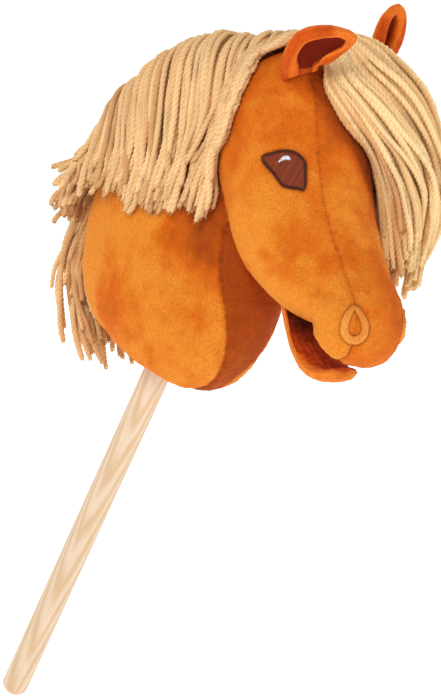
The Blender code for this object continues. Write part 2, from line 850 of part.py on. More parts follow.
def rounded_outline(corners, per_side):
    """A closed smooth outline through hand-set points."""
    keys = [Vector(point) * PATTERN_UNIT for point in corners]
    keys = [keys[-2], keys[-1]] + keys + keys[:2]
    points = []
    for k in range(len(corners) * per_side):
        points.append(tuple(catmull(keys, 2 + k / per_side)))
    return points


def grown_outline(outline, by):
    """The outline moved outwards by a fixed distance."""
    count = len(outline)
    points = []
    for k in range(count):
        before, after = Vector(outline[k - 1]), Vector(outline[(k + 1) % count])
        along = (after - before).normalized()
        points.append(tuple(Vector(outline[k]) + Vector((-along.y, along.x)) * by))
    return points


def teardrop(length, width, point, tilt, count=20):
    """A drop with its point up, tilted back. A larger point value makes it sharper."""
    points = []
    for k in range(count):
        turn = 2 * math.pi * (k + 0.5) / count
        up = length / 2 * math.cos(turn)
        side = width / 2 * math.sin(turn) * abs(math.sin(turn / 2)) ** point
        forward = side * math.cos(tilt) - up * math.sin(tilt)
        points.append((forward, side * math.sin(tilt) + up * math.cos(tilt)))
    return points


def add_pair(name, points, faces, finish):
    """The piece for the right side of the head, and its mirror image for the left."""
    add_object("right_" + name, mesh_from("right_" + name, points, faces), finish)
    other = [Vector((-point.x, point.y, point.z)) for point in points]
    add_object("left_" + name, mesh_from("left_" + name, other, faces), finish)


def disc_pair(name, stacks, finish):
    mesh = layered_disc(name, *stacks)
    points = [vertex.co.copy() for vertex in mesh.vertices]
    add_pair(name, points, [tuple(face.vertices) for face in mesh.polygons], finish)
    bpy.data.meshes.remove(mesh)


def add_eyes():
    eye = Patch(EYE_STATION, EYE_SIDE_ANGLE)
    outline = rounded_outline(EYE_OUTLINE, 2)
    inner = grown_outline(outline, -EYE_RIM if turns_left(outline) else EYE_RIM)
    gap = grown_outline(inner, -LAYER_GAP if turns_left(outline) else LAYER_GAP)
    disc_pair("eye_patch", eye.disc(gap, (1.0, 0.7, 0.4), 0.0, EYE_PATCH), EYE_BROWN)
    points, faces = eye.roll(inner, outline, 0.0, EYE_RIM_HEIGHT)
    add_pair("eye_outline", points, faces, EYE_DARK)
    rows, columns = 9, 3
    points = []
    for lift in (EYE_PATCH + APPLIQUE_LIFT, EYE_PATCH + APPLIQUE_LIFT + GLINT):
        for k in range(rows):
            at = (len(GLINT_UPPER) - 1) * k / (rows - 1)
            upper, lower = (catmull([Vector(p) for p in arc], at) for arc in (GLINT_UPPER, GLINT_LOWER))
            for j in range(columns):
                place = upper.lerp(lower, j / (columns - 1)) * PATTERN_UNIT
                points.append(eye.at(place.x, place.y, lift))
    add_pair("eye_glint", points, slab_faces(rows, columns), WHITE)


def turns_left(outline):
    area = sum(
        a[0] * b[1] - a[1] * b[0] for a, b in zip(outline, outline[1:] + outline[:1])
    )
    return area < 0


def add_nostrils():
    nostril = Patch(NOSTRIL_STATION, NOSTRIL_SIDE_ANGLE)
    half = NOSTRIL_ROLL / 2
    narrow = NOSTRIL_WIDTH - 2 * half + NOSTRIL_INNER_WIDENING
    wide = NOSTRIL_WIDTH + 2 * half + NOSTRIL_OUTER_WIDENING
    inner = teardrop(NOSTRIL_LENGTH - 2 * half, narrow, 0.8, NOSTRIL_TILT)
    outer = teardrop(NOSTRIL_LENGTH + 2 * half, wide, 0.3, NOSTRIL_TILT)
    points, faces = nostril.roll(inner, outer, 0.0, NOSTRIL_ROLL_HEIGHT)
    add_pair("nostril_roll", points, faces, PLUSH)
    share = 1 - 2 * LAYER_GAP / (NOSTRIL_WIDTH - 2 * half)
    patch = [(u * share, v * share) for u, v in inner]
    disc_pair("nostril_patch", nostril.disc(patch, (1.0, 0.5), 0.0, NOSTRIL_PATCH), DARK_PLUSH)


def crest_tape():
    """The tape that the mane's yarn is sewn to, along the crest seam."""
    first, last = MANE_TAPE_FIRST, MANE_TAPE_LAST
    rows, columns = 15, 5
    points = []
    for lift in (LAYER_GAP, LAYER_GAP + MANE_TAPE):
        for i in range(rows):
            station = first + (last - first) * i / (rows - 1)
            edge = neck.loft.angle_at_width(station, MANE_TAPE_WIDTH / 2)
            for j in range(columns):
                angle = edge * (2 * j / (columns - 1) - 1)
                normal = neck.loft.normal(station, angle)
                points.append(neck.loft.point(station, angle) + normal * lift)
    return mesh_from("mane_tape", points, slab_faces(rows, columns))


def between(keys, at):
    """The row of values at a place along a table of rows."""
    return [catmull([Vector((row[k], 0)) for row in keys], at).x for k in range(len(keys[0]))]


def drape(name, loft, cells, place):
    """A thick layer over a loft. place gives station, angle and the lifts of its two sides."""
    rows, columns = cells
    points = []
    for layer in (0, 1):
        for i in range(rows + 1):
            for j in range(columns + 1):
                station, angle, lifts = place(i / rows, j / columns)
                angle = math.radians(angle)
                normal = loft.normal(station, angle)
                points.append(loft.point(station, angle) + normal * lifts[layer])
    return mesh_from(name, points, slab_faces(rows + 1, columns + 1))


def mane_place(guides, side):
    """Where a mane's layer lies, from its poll end to its low end and from crest to tips."""
    def place(along, down):
        start, end, angle, root, tip, off = between(guides, along * (len(guides) - 1))
        down = down ** MANE_CROWDING
        station = start + (end - start) * down ** MANE_SWEEP
        turn = angle * (1 - (1 - down) ** MANE_FALL)
        near_crest = 1 - blend_between(turn, *MANE_OFF_TAPE)
        lift = YARN_LIFT + (YARN_OVER_TAPE - YARN_LIFT) * near_crest
        lift += max(off, 0.0) * PATTERN_UNIT * blend_between(down, *MANE_STANDS_OFF)
        depth = (root + (tip - root) * blend_between(down, 0.0, 0.8)) * PATTERN_UNIT
        return station, side * turn, (lift, lift + depth)
    return place


def add_mane(head_volume):
    pieces = [add_object("mane_tape", crest_tape(), YARN)]
    for name, guides, side in (("mane_right", MANE_RIGHT, -1), ("mane_left", MANE_LEFT, 1)):
        mesh = drape(name, neck.loft, MANE_CELLS, mane_place(guides, side))
        for vertex in mesh.vertices:
            if vertex.co.x * side < SEAM_GAP / 2:
                vertex.co.x = side * SEAM_GAP / 2
        pieces.append(add_object(name, mesh, YARN))
    for piece in pieces:
        cut(piece, head_volume)


def forelock_place(along, across):
    """Where the forelock lies, from the poll to its tips and from its near to its far edge."""
    near, near_angle, far, far_angle, depth = between(
        FORELOCK_EDGES, along * (len(FORELOCK_EDGES) - 1)
    )
    station = near + (far - near) * across
    angle = near_angle + (far_angle - near_angle) * across
    stations, degrees = FORELOCK_EYE_REACH
    from_eye = math.hypot(
        (station - EYE_STATION) / stations, (angle - math.degrees(EYE_SIDE_ANGLE)) / degrees
    )
    lift = YARN_LIFT + FORELOCK_OVER_EYE * (1 - blend_between(from_eye, 0.5, 1.0))
    edge = 1 - FORELOCK_THINNING * blend_between(abs(2 * across - 1), 0.6, 1.0)
    return station, angle, (lift, lift + depth * PATTERN_UNIT * edge)


def add_forelock():
    mesh = drape("forelock", head.loft, FORELOCK_CELLS, forelock_place)
    add_object("forelock", mesh, YARN)


clear_scene()
PLUSH = material("plush velour", (0.80, 0.28, 0.05), 0.85)
DARK_PLUSH = material("shaded plush", (0.45, 0.10, 0.02), 0.9)
LINING = material("mouth lining", (0.25, 0.04, 0.01), 0.9)
FILL = material("fibre stuffing", (0.85, 0.83, 0.78), 0.95)
WOOD = material("beech stick", (0.78, 0.58, 0.38), 0.55)
YARN = material("wool yarn", (0.83, 0.62, 0.37), 0.9)
EYE_BROWN = material("eye thread", (0.20, 0.06, 0.02), 0.6)
EYE_DARK = material("eye outline thread", (0.07, 0.02, 0.01), 0.5)
WHITE = material("glint thread", (0.9, 0.9, 0.9), 0.5)
TUBE = material("sleeve board", (0.62, 0.55, 0.45), 0.8)

hole = STICK_DIAMETER / 2 + STICK_CLEARANCE
on_pattern = hole / PATTERN_UNIT
collar = ((on_pattern, 0.0), (-on_pattern, 0.0), 2 * hole / NECK_WIDTH)
neck = Skin(
    RailLoft((collar, *NECK_STATIONS), NECK_WIDTH, STICK_VISIBLE),
    NECK_ROWS, throat_strip, math.pi, GUSSET_CELLS, SIDE_CELLS,
)
head = Skin(
    RailLoft(HEAD_STATIONS, HEAD_WIDTH, STICK_VISIBLE),
    HEAD_ROWS, face_strip, 0.0, GUSSET_CELLS, SIDE_CELLS,
)
lip = Skin(
    RailLoft(LIP_STATIONS, LIP_WIDTH, STICK_VISIBLE),
    LIP_ROWS, lip_strip, 0.0, LIP_STRIP_CELLS, LIP_SIDE_CELLS,
)

middle, into = palate_frame()
volume = head.closed(
    "head_volume", -NECK_OVER_HEAD_GAP,
    side_point(HEAD_BACK) + Vector((0, NECK_OVER_HEAD_GAP, 0)),
    [middle - into * NECK_OVER_HEAD_GAP],
)
head_volume = as_cutter(add_object("head_volume", volume, None))
surface = head.closed("head_surface", 0.0, side_point(HEAD_BACK), [middle])
head_surface = BVHTree.FromPolygons(
    [vertex.co.copy() for vertex in surface.vertices],
    [tuple(face.vertices) for face in surface.polygons],
)
bpy.data.meshes.remove(surface)

add_neck(head_volume, add_turned_pieces())
add_head()
add_lower_lip(head_volume)
add_ears()
add_eyes()
add_nostrils()
add_mane(head_volume)
add_forelock()
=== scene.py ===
# %% [markdown]
# # A plush hobby horse
# The toy is a stuffed velour head and neck, sewn from flat panels and fixed on a round wooden
# stick. Its mane and forelock are wool yarn. This lesson loads the measured model as a fixed
# frame, and then makes each visible piece in the place that the frame gives it.

import json
import math

import bmesh
import bpy
import numpy as np
from mathutils import Matrix, Vector
from mathutils.bvhtree import BVHTree
from mathutils.kdtree import KDTree

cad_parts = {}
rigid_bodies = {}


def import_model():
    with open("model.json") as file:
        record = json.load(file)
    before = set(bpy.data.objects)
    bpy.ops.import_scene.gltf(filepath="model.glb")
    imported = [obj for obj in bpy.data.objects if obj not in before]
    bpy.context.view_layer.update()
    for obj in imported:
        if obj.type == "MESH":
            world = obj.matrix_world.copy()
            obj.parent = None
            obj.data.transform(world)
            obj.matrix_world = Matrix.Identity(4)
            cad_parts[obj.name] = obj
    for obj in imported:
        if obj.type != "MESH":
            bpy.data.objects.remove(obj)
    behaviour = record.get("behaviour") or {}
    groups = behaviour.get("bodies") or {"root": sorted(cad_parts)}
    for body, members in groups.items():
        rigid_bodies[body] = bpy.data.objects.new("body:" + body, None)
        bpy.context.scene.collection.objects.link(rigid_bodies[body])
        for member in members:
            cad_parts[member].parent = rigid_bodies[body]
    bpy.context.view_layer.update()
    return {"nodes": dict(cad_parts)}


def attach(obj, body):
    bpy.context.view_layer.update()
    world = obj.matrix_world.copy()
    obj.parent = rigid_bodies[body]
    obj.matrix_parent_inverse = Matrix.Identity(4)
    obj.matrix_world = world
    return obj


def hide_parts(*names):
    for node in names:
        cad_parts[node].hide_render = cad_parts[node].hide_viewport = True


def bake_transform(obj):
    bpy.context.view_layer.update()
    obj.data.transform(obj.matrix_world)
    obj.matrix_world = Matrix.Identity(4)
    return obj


for leftover in list(bpy.data.objects):
    bpy.data.objects.remove(leftover, do_unlink=True)
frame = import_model()
ROOT = "horse"

# %% [markdown]
# ## Camera
# The horse is seen from its right side, a little from in front and above, with the stick
# leaning in the picture. A camera that is rolled about its own line of sight gives that lean
# and leaves the stick upright in the model, so nothing of the toy has to be tilted.

# %% Place the camera
VIEW_TURN = math.radians(53)
VIEW_RISE = math.radians(20)
VIEW_ROLL = math.radians(25.109)
VIEW_DISTANCE = 1.450
VIEW_MIDDLE = Vector((0.02845, -0.03225, 0.40910))
LENS_PIXELS = 1630.35
LONG_SIDE_PIXELS = 700
SENSOR_WIDTH = 36


def camera_axes():
    """The camera's right, up and backward directions."""
    turn, rise = VIEW_TURN, VIEW_RISE
    back = Vector((-math.sin(turn) * math.cos(rise), -math.cos(turn) * math.cos(rise), math.sin(rise)))
    level = Vector((math.cos(turn), -math.sin(turn), 0))
    upright = back.cross(level)
    right = level * math.cos(VIEW_ROLL) + upright * math.sin(VIEW_ROLL)
    return right, back.cross(right), back


photo_camera = bpy.data.objects.new("photo_camera", bpy.data.cameras.new("photo_camera"))
bpy.context.scene.collection.objects.link(photo_camera)
photo_camera.data.sensor_width = SENSOR_WIDTH
photo_camera.data.lens = LENS_PIXELS * SENSOR_WIDTH / LONG_SIDE_PIXELS
right, up, back = camera_axes()
turned_to = Matrix((right, up, back)).transposed().to_4x4()
photo_camera.matrix_world = Matrix.Translation(VIEW_MIDDLE + back * VIEW_DISTANCE) @ turned_to
bpy.context.scene.camera = photo_camera
print("lens", round(photo_camera.data.lens, 1), "mm")

# %% [markdown]
# ## Floor and light
# A white studio floor and three large soft lamps keep the shadows faint, so that much of the
# light and dark on the pile and the yarn comes from their colours, which carry painted light
# and shade. The key light comes from the left of the picture, so the throat, which faces the
# other way, stays deep.

# %% Light the toy
STUDIO_GLOW = 0.46
LAMPS_LOOK_AT = Vector((0, 0, 0.5))
bpy.context.scene.view_settings.view_transform = "Standard"
studio = bpy.data.worlds.new("studio")
studio.use_nodes = True
studio.node_tree.nodes["Background"].inputs["Color"].default_value = (1.0, 1.0, 1.0, 1.0)
studio.node_tree.nodes["Background"].inputs["Strength"].default_value = STUDIO_GLOW
bpy.context.scene.world = studio


def soft_lamp(name, place, size, power):
    """A square lamp that looks at the toy's head."""
    lamp = bpy.data.objects.new(name, bpy.data.lights.new(name, "AREA"))
    lamp.data.size = size
    lamp.data.energy = power
    lamp.location = place
    lamp.rotation_euler = (LAMPS_LOOK_AT - Vector(place)).to_track_quat("-Z", "Y").to_euler()
    bpy.context.scene.collection.objects.link(lamp)


soft_lamp("key_lamp", (-1.9, -0.5, 1.9), 0.9, 25)
soft_lamp("fill_lamp", (1.0, -2.1, 1.3), 1.4, 21)
soft_lamp("rim_lamp", (0.2, 2.0, 1.7), 1.0, 9)

# %% Lay the floor
FLOOR_GLOW = 0.62
FLOOR_REACH = 12.0
FLOOR_DROP = 0.0006
floor_mesh = bpy.data.meshes.new("studio_floor")
corners = [(-1, -1), (1, -1), (1, 1), (-1, 1)]
floor_points = [(x * FLOOR_REACH, y * FLOOR_REACH, -FLOOR_DROP) for x, y in corners]
floor_mesh.from_pydata(floor_points, [], [(0, 1, 2, 3)])
studio_floor = bpy.data.objects.new("studio_floor", floor_mesh)
bpy.context.scene.collection.objects.link(studio_floor)
floor_paint = bpy.data.materials.new("studio white")
floor_paint.use_nodes = True
floor_shader = floor_paint.node_tree.nodes["Principled BSDF"]
floor_shader.inputs["Base Color"].default_value = (0.9, 0.9, 0.9, 1)
floor_shader.inputs["Roughness"].default_value = 0.9
floor_shader.inputs["Emission Color"].default_value = (1, 1, 1, 1)
floor_shader.inputs["Emission Strength"].default_value = FLOOR_GLOW
floor_mesh.materials.append(floor_paint)
print("floor", 2 * FLOOR_REACH, "m across")

# %% [markdown]
# ## Writing shader maths as sums
# A finish here mixes many patterns, and wiring Math nodes by hand hides what they do. A small
# class wraps a socket and takes part in ordinary sums, and one method adds any other node.


# %% A socket that can be used in a sum
class Wire:
    """A socket of a shader, for use in sums."""

    def __init__(self, finish, socket):
        self.finish = finish
        self.socket = socket

    def sum(self, operation, *values):
        """A Math node on some values, as a new wire."""
        inputs = dict(enumerate(values))
        return self.finish.node("ShaderNodeMath", {"operation": operation}, inputs)

    def __add__(self, other):
        return self.sum("ADD", self, other)

    def __sub__(self, other):
        return self.sum("SUBTRACT", self, other)

    def __mul__(self, other):
        return self.sum("MULTIPLY", self, other)

    def __rsub__(self, other):
        return self.sum("SUBTRACT", other, self)

    __radd__ = __add__
    __rmul__ = __mul__

    def rise(self, low, high):
        """0 below low, 1 above high, smooth between."""
        settings = {"interpolation_type": "SMOOTHSTEP"}
        inputs = {"Value": self, "From Min": low, "From Max": high}
        return self.finish.node("ShaderNodeMapRange", settings, inputs)


# %% A finish and its one method for nodes
class Finish:
    """A material with a Principled shader, and short ways to wire it."""

    def __init__(self, name, roughness, sheen=0.0, sheen_tint=(1, 1, 1), gloss=0.15):
        self.material = bpy.data.materials.new(name)
        self.material.use_nodes = True
        self.tree = self.material.node_tree
        self.shader = self.tree.nodes["Principled BSDF"]
        self.set("Roughness", roughness)
        self.set("Sheen Weight", sheen)
        self.set("Sheen Tint", (*sheen_tint, 1))
        self.set("Sheen Roughness", 0.45)
        self.set("Specular IOR Level", gloss)

    def set(self, socket, value):
        """Gives the shader's own socket a value or a link."""
        self.join(value, self.shader.inputs[socket])

    def join(self, value, socket):
        if isinstance(value, Wire):
            self.tree.links.new(value.socket, socket)
        else:
            socket.default_value = value

    def node(self, kind, settings=None, inputs=None, output=0):
        """Any node, from its type, its settings and the values or links of its sockets."""
        made = self.tree.nodes.new(kind)
        for name, value in (settings or {}).items():
            setattr(made, name, value)
        for name, value in (inputs or {}).items():
            self.join(value, made.inputs[name])
        return Wire(self, made.outputs[output])

    def place(self):
        """Object coordinates, which stay with the piece."""
        return self.node("ShaderNodeTexCoord", output="Object")

    def stretched(self, scale):
        """Object coordinates with a scale for each axis."""
        inputs = {"Vector": self.place(), "Scale": scale}
        return self.node("ShaderNodeMapping", {"vector_type": "POINT"}, inputs)

    def noise(self, scale, detail=2.0, where=None, roughness=0.5):
        inputs = {"Vector": where or self.place(), "Scale": scale, "Detail": detail}
        inputs["Roughness"] = roughness
        return self.node("ShaderNodeTexNoise", {}, inputs)

    def attribute(self, name):
        """A number that the piece carries on its points."""
        return self.node("ShaderNodeAttribute", {"attribute_name": name}, output="Fac")

    def mixed(self, share, first, second):
        """Two colours mixed, each a wire or three numbers."""
        colours = [(*c, 1) if isinstance(c, tuple) else c for c in (first, second)]
        inputs = {0: share, 6: colours[0], 7: colours[1]}
        return self.node("ShaderNodeMix", {"data_type": "RGBA"}, inputs, output=2)

    def bump(self, height, depth):
        inputs = {"Height": height, "Distance": depth, "Strength": 1.0}
        self.set("Normal", self.node("ShaderNodeBump", {}, inputs))


# %% Picture colours
def srgb(*levels):
    """A picture colour of 0 to 255 levels as the linear values that a shader takes."""
    shares = [level / 255 for level in levels]
    return tuple(x / 12.92 if x <= 0.04045 else ((x + 0.055) / 1.055) ** 2.4 for x in shares)


print("orange", [round(x, 3) for x in srgb(236, 150, 60)])

# %% [markdown]
# ## Velour plush
# Velour is a knit with a pile about two millimetres long. Stroked pile lies in patches, painted
# in as colour: pale where it leans to the light and deep red-brown where it leans away. The
# colour follows slow noise for the patches, finer noise for the tufts, and two values that the
# skin carries on its points. One says which way a panel's pile was stroked and also carries
# painted light and painted shade; `seam` says how close a seam is and darkens the skin there
# with a dark seam line and painted shade in the groove.

# %% Mix the plush
# The three tones are one orange velour: the lit tone also stands for painted light and the deep tone for
# painted shade, where the skin's values call for them.
PLUSH_LIT = srgb(230, 140, 42)
PLUSH_MID = srgb(214, 104, 14)
PLUSH_DEEP = srgb(140, 52, 4)


def plush(name, lit, mid, deep, depth=0.0006):
    """Short pile with patches, tufts and single hairs."""
    finish = Finish(name, 0.85, 0.10, (1.0, 0.56, 0.20))
    tufts = finish.noise(620, 3.0, roughness=0.6)
    hairs = finish.noise(2100, 2.0, finish.stretched((1.0, 1.0, 0.45)))
    patches = finish.noise(13, 4.0, finish.stretched((1.0, 1.0, 0.7)), 0.6)
    drift = finish.noise(55, 2.0)
    nap_and_shade, seam = finish.attribute("nap_and_shade"), finish.attribute("seam")
    mottle = finish.noise(26, 3.0, finish.stretched((1.0, 1.0, 0.5)), 0.6)
    # The pile's direction and the painted light and shade from the skin's values shift the mix between
    # the tones.
    lean_and_shade = patches * 0.30 + mottle * 0.40 + drift * 0.30 + nap_and_shade * 0.16
    body = finish.mixed(lean_and_shade.rise(0.40, 0.62), mid, lit)
    body = finish.mixed(lean_and_shade.rise(0.10, 0.46), finish.mixed(0.85, mid, deep), body)
    fleck = (tufts * 0.6 + hairs * 0.4).rise(0.32, 0.60)
    body = finish.mixed(fleck, finish.mixed(0.42, body, deep), body)
    # Near seams the skin is darkened: a dark seam line, and painted shade in the groove.
    finish.set("Base Color", finish.mixed(seam * 0.7, body, deep))
    finish.set("Roughness", 0.78 + 0.16 * tufts)
    finish.bump(tufts * 0.7 + hairs * 0.4 + drift * 0.4, depth)
    return finish.material


PLUSH = plush("velour plush", PLUSH_LIT, PLUSH_MID, PLUSH_DEEP)
LEAF_PLUSH = plush("ear plush", srgb(238, 124, 36), srgb(214, 86, 12), srgb(130, 38, 2))
# The ear lining is the same orange plush, mixed dark as painted shade inside the cup.
SHADED_EAR_LINING = plush("ear lining plush in painted shade", srgb(160, 46, 10), srgb(128, 28, 4), srgb(68, 8, 0))
print("plush mixed")

# %% [markdown]
# ## Forms
# The stuffed forms were drawn as side views: each station has an upper and a lower point and
# a width. A smooth curve through the stations and a rounded section between the two rails
# give any point of the skin from two numbers, the station along it and the angle round it.
# Seams, yarn and stitches are placed with the same two numbers, so they lie on the skin.

# %% Side views of the neck, the head and the lower lip
PATTERN = 0.001
STICK_LENGTH = 0.374
STICK_RADIUS = 0.0125
NECK_WIDTH = 0.128
HEAD_WIDTH = 0.126
LIP_WIDTH = 0.060
FULLNESS = 2.25
COLLAR = (12.8, 0.0, -12.8, 0.0, 0.2)
NECK_SIDE = (
    COLLAR,
    (40, 1, -34, 2, 0.45),
    (76, 10, -62, 12, 0.74),
    (106, 32, -78, 40, 0.92),
    (124, 66, -84, 78, 1.00),
    (133, 109, -78, 114, 0.98),
    (133, 158, -66, 150, 0.94),
    (121, 206, -50, 190, 0.89),
    (92, 247, -42, 226, 0.82),
    (55, 277, -34, 252, 0.70),
    (18, 290, -26, 266, 0.48),
)
NECK_TOP = (-6, 284)
HEAD_BACK = (30, 248)
HEAD_SIDE = (
    (24, 280, 28, 218, 0.56),
    (4, 304, 14, 190, 0.83),
    (-28, 315, -8, 166, 0.97),
    (-60, 297, -36, 146, 1.00),
    (-87, 262, -66, 131, 0.96),
    (-110, 232, -93, 124, 0.88),
    (-136, 208, -115, 123, 0.78),
    (-163, 188, -128, 125, 0.70),
    (-188, 171, -136, 127, 0.655),
    (-200, 150, -141, 128, 0.635),
    (-201, 129, -144, 129, 0.60),
    (-191, 119, -148, 130, 0.53),
)
LIP_SIDE = (
    (-100, 143, -98, 125, 0.72),
    (-116, 133, -119, 109, 0.90),
    (-136, 117, -141, 94, 1.00),
    (-153, 107, -158, 87, 0.98),
    (-166, 105, -170, 89, 0.86),
    (-176, 108, -179, 96, 0.60),
    (-181.5, 104, -181.5, 102.6, 0.06),
)


# %% A form from a side view
def smooth_curve(keys, at):
    """Values at station numbers, on a smooth curve through all the keys."""
    keys = np.asarray(keys, float)
    keys = np.vstack([2 * keys[0] - keys[1], keys, 2 * keys[-1] - keys[-2]])
    last = len(keys) - 3
    at = np.clip(np.asarray(at, float), 0, last)
    first = np.minimum(at.astype(int), last - 1)
    t = (at - first)[..., None]
    before, a, b, after = (keys[first + k] for k in range(4))
    bend = 2 * before - 5 * a + 4 * b - after
    return 0.5 * (2 * a + (b - before) * t + bend * t**2 + (3 * a - before - 3 * b + after) * t**3)


def rise(value, low, high):
    """0 below low, 1 above high, and smooth between."""
    t = np.clip((np.asarray(value, float) - low) / (high - low), 0, 1)
    return t * t * (3 - 2 * t)


def side_point(y, z):
    """A point of the side view in metres, with heights counted from the stick's end."""
    return np.array((0, y * PATTERN, z * PATTERN + STICK_LENGTH))


# %% The skin of a form
STATION_STEP, ANGLE_STEP = 0.04, 0.03


class Form:
    """A rounded form between two rails of the side view."""

    def __init__(self, side, width):
        self.upper = [side_point(row[0], row[1]) for row in side]
        self.lower = [side_point(row[2], row[3]) for row in side]
        self.half = [(row[4] * width / 2,) for row in side]
        self.last = len(side) - 1

    def section(self, station):
        """Middle, upward reach and half width of the form at a station."""
        upper, lower = smooth_curve(self.upper, station), smooth_curve(self.lower, station)
        half = np.maximum(smooth_curve(self.half, station), 0)
        return (upper + lower) / 2, (upper - lower) / 2, half

    def point(self, station, angle):
        """The skin's point at a station and an angle that is 0 on top."""
        centre, reach, half = self.section(station)
        angle = np.asarray(angle, float)[..., None]
        c, s = np.cos(angle), np.sin(angle)
        power = 2 / FULLNESS
        across = half * np.sign(s) * np.abs(s) ** power * np.array((1.0, 0, 0))
        return centre + reach * np.sign(c) * np.abs(c) ** power + across

    def normal(self, station, angle):
        """The direction straight out of the skin."""
        step, turn = STATION_STEP, ANGLE_STEP
        inside = np.clip(np.asarray(station, float), step, self.last - step)
        angle = np.asarray(angle, float)
        along = self.point(inside + step, angle) - self.point(inside - step, angle)
        around = self.point(inside, angle + turn) - self.point(inside, angle - turn)
        normal = np.cross(around, along)
        normal /= np.linalg.norm(normal, axis=-1, keepdims=True)
        outward = self.point(inside, angle) - self.section(inside)[0]
        return normal * np.where((normal * outward).sum(-1, keepdims=True) > 0, 1, -1)

    def angle_at_width(self, station, across):
        """The angle at which the form is as wide as asked on one side."""
        half = self.section(station)[2][..., 0]
        share = np.minimum(across / np.maximum(half, 1e-6), 0.94)
        return np.arcsin(share ** (FULLNESS / 2))


neck_form = Form(NECK_SIDE, NECK_WIDTH)
head_form = Form(HEAD_SIDE, HEAD_WIDTH)
lip_form = Form(LIP_SIDE, LIP_WIDTH)
print("neck", neck_form.last, "head", head_form.last, "lip", lip_form.last, "stations")


# %% Meshes from rings of points
def add_piece(name, points, faces, *finishes):
    """An object from points and faces, smooth and facing outwards."""
    mesh = bpy.data.meshes.new(name)
    mesh.from_pydata([tuple(p) for p in points], [], faces)
    shape = bmesh.new()
    shape.from_mesh(mesh)
    bmesh.ops.recalc_face_normals(shape, faces=shape.faces)
    shape.to_mesh(mesh)
    shape.free()
    for finish in finishes:
        mesh.materials.append(finish)
    mesh.shade_smooth()
    piece = bpy.data.objects.new(name, mesh)
    bpy.context.scene.collection.objects.link(piece)
    return piece


def ring_faces(rings, count):
    """Faces between closed rings of the same number of points."""
    faces = []
    for i in range(rings - 1):
        a, b = i * count, (i + 1) * count
        for j in range(count):
            k = (j + 1) % count
            faces.append((a + j, a + k, b + k, b + j))
    return faces


def capped_rings(rings, tip):
    """Points and faces of a bowl whose last ring is closed by a point."""
    count = len(rings[0])
    points = [p for ring in rings for p in ring] + [tip]
    faces, last = ring_faces(len(rings), count), (len(rings) - 1) * count
    faces += [(last + j, last + (j + 1) % count, len(points) - 1) for j in range(count)]
    return points, faces


def closed_rings(rings, first_pole, last_pole):
    """Points and faces of a form closed by a point at each end."""
    count = len(rings[0])
    points = [p for ring in rings for p in ring] + [first_pole, last_pole]
    faces = ring_faces(len(rings), count)
    last = (len(rings) - 1) * count
    for j in range(count):
        k = (j + 1) % count
        faces.append((k, j, len(points) - 2))
        faces.append((last + j, last + k, len(points) - 1))
    return points, faces


def mark_points(piece, label, values):
    """Writes a number, or three numbers, on each point of a piece."""
    values = np.asarray(values, np.float32)
    kind, field = ("FLOAT", "value") if values.ndim == 1 else ("FLOAT_VECTOR", "vector")
    layer = piece.data.attributes.new(label, kind, "POINT")
    layer.data.foreach_set(field, values.ravel())


# %% Read, move and finish a mesh
def mesh_points(piece):
    points = np.empty(len(piece.data.vertices) * 3, np.float32)
    piece.data.vertices.foreach_get("co", points)
    return points.reshape(-1, 3).astype(float)


def mesh_normals(piece):
    normals = np.empty(len(piece.data.vertices) * 3, np.float32)
    piece.data.vertex_normals.foreach_get("vector", normals)
    return normals.reshape(-1, 3).astype(float)


def move_points(piece, points):
    piece.data.vertices.foreach_set("co", np.asarray(points, np.float32).ravel())
    piece.data.update()


def apply_modifiers(piece):
    """The piece's mesh becomes what its modifiers make, and they are removed."""
    evaluated = piece.evaluated_get(bpy.context.evaluated_depsgraph_get())
    mesh = bpy.data.meshes.new_from_object(evaluated)
    old, name = piece.data, piece.data.name
    piece.modifiers.clear()
    piece.data = mesh
    bpy.data.meshes.remove(old)
    mesh.name = name


def give_wall(piece, thickness, offset):
    """A thin surface gets a wall of even thickness."""
    wall = piece.modifiers.new("Wall", "SOLIDIFY")
    wall.thickness = thickness
    wall.offset = offset
    apply_modifiers(piece)


print("helpers ready")

# %% [markdown]
# ## Stuffed head and neck
# The head and neck are two closed forms that run into each other. A voxel remesh makes one
# even skin of them, with a soft crease where the cheek is sewn over the neck.

# %% Join the two forms
PALATE_RISE = 0.008
SKIN_VOXEL = 0.0034
FORM_ROWS, FORM_COLUMNS = 110, 120


def palate():
    """The middle of the mouth's roof and the direction into the head."""
    front, corner = np.array(head_form.upper[-1]), np.array(head_form.lower[-1])
    along = (front - corner) / np.linalg.norm(front - corner)
    return (front + corner) / 2, np.array((0, along[2], -along[1]))


def form_rings(form, rows, columns):
    """Rings of skin points from one end of a form to the other."""
    stations = np.linspace(0, form.last, rows)[:, None] * np.ones(columns)
    angles = np.ones((rows, 1)) * np.linspace(0, 2 * math.pi, columns, endpoint=False)
    return list(form.point(stations, angles))


def dome(ring, middle, lift, rise_by, count=6):
    """Rings that close an opening with a shallow dome."""
    rings = []
    for k in range(1, count):
        share = 1 - k / count
        rings.append(middle + (ring - middle) * share + lift + rise_by * (1 - share**2))
    return rings, middle + lift + rise_by


# %% Make one even skin of both
roof_middle, into_head = palate()
neck_rings = form_rings(neck_form, FORM_ROWS, FORM_COLUMNS)
neck_points, neck_faces = closed_rings(neck_rings, side_point(0, 3), side_point(*NECK_TOP))
head_rings = form_rings(head_form, FORM_ROWS, FORM_COLUMNS)
roof, roof_top = dome(head_rings[-1], roof_middle, 0 * into_head, into_head * PALATE_RISE)
head_points, head_faces = closed_rings(head_rings + roof, side_point(*HEAD_BACK), roof_top)
moved = [tuple(k + len(neck_points) for k in face) for face in head_faces]
plush_body = add_piece("plush_body", neck_points + head_points, neck_faces + moved, PLUSH)
remesh = plush_body.modifiers.new("Even skin", "REMESH")
remesh.mode = "VOXEL"
remesh.voxel_size = SKIN_VOXEL
relax = plush_body.modifiers.new("Relax", "SMOOTH")
relax.factor = 0.5
relax.iterations = 4
apply_modifiers(plush_body)
print("skin of", len(plush_body.data.polygons), "faces")


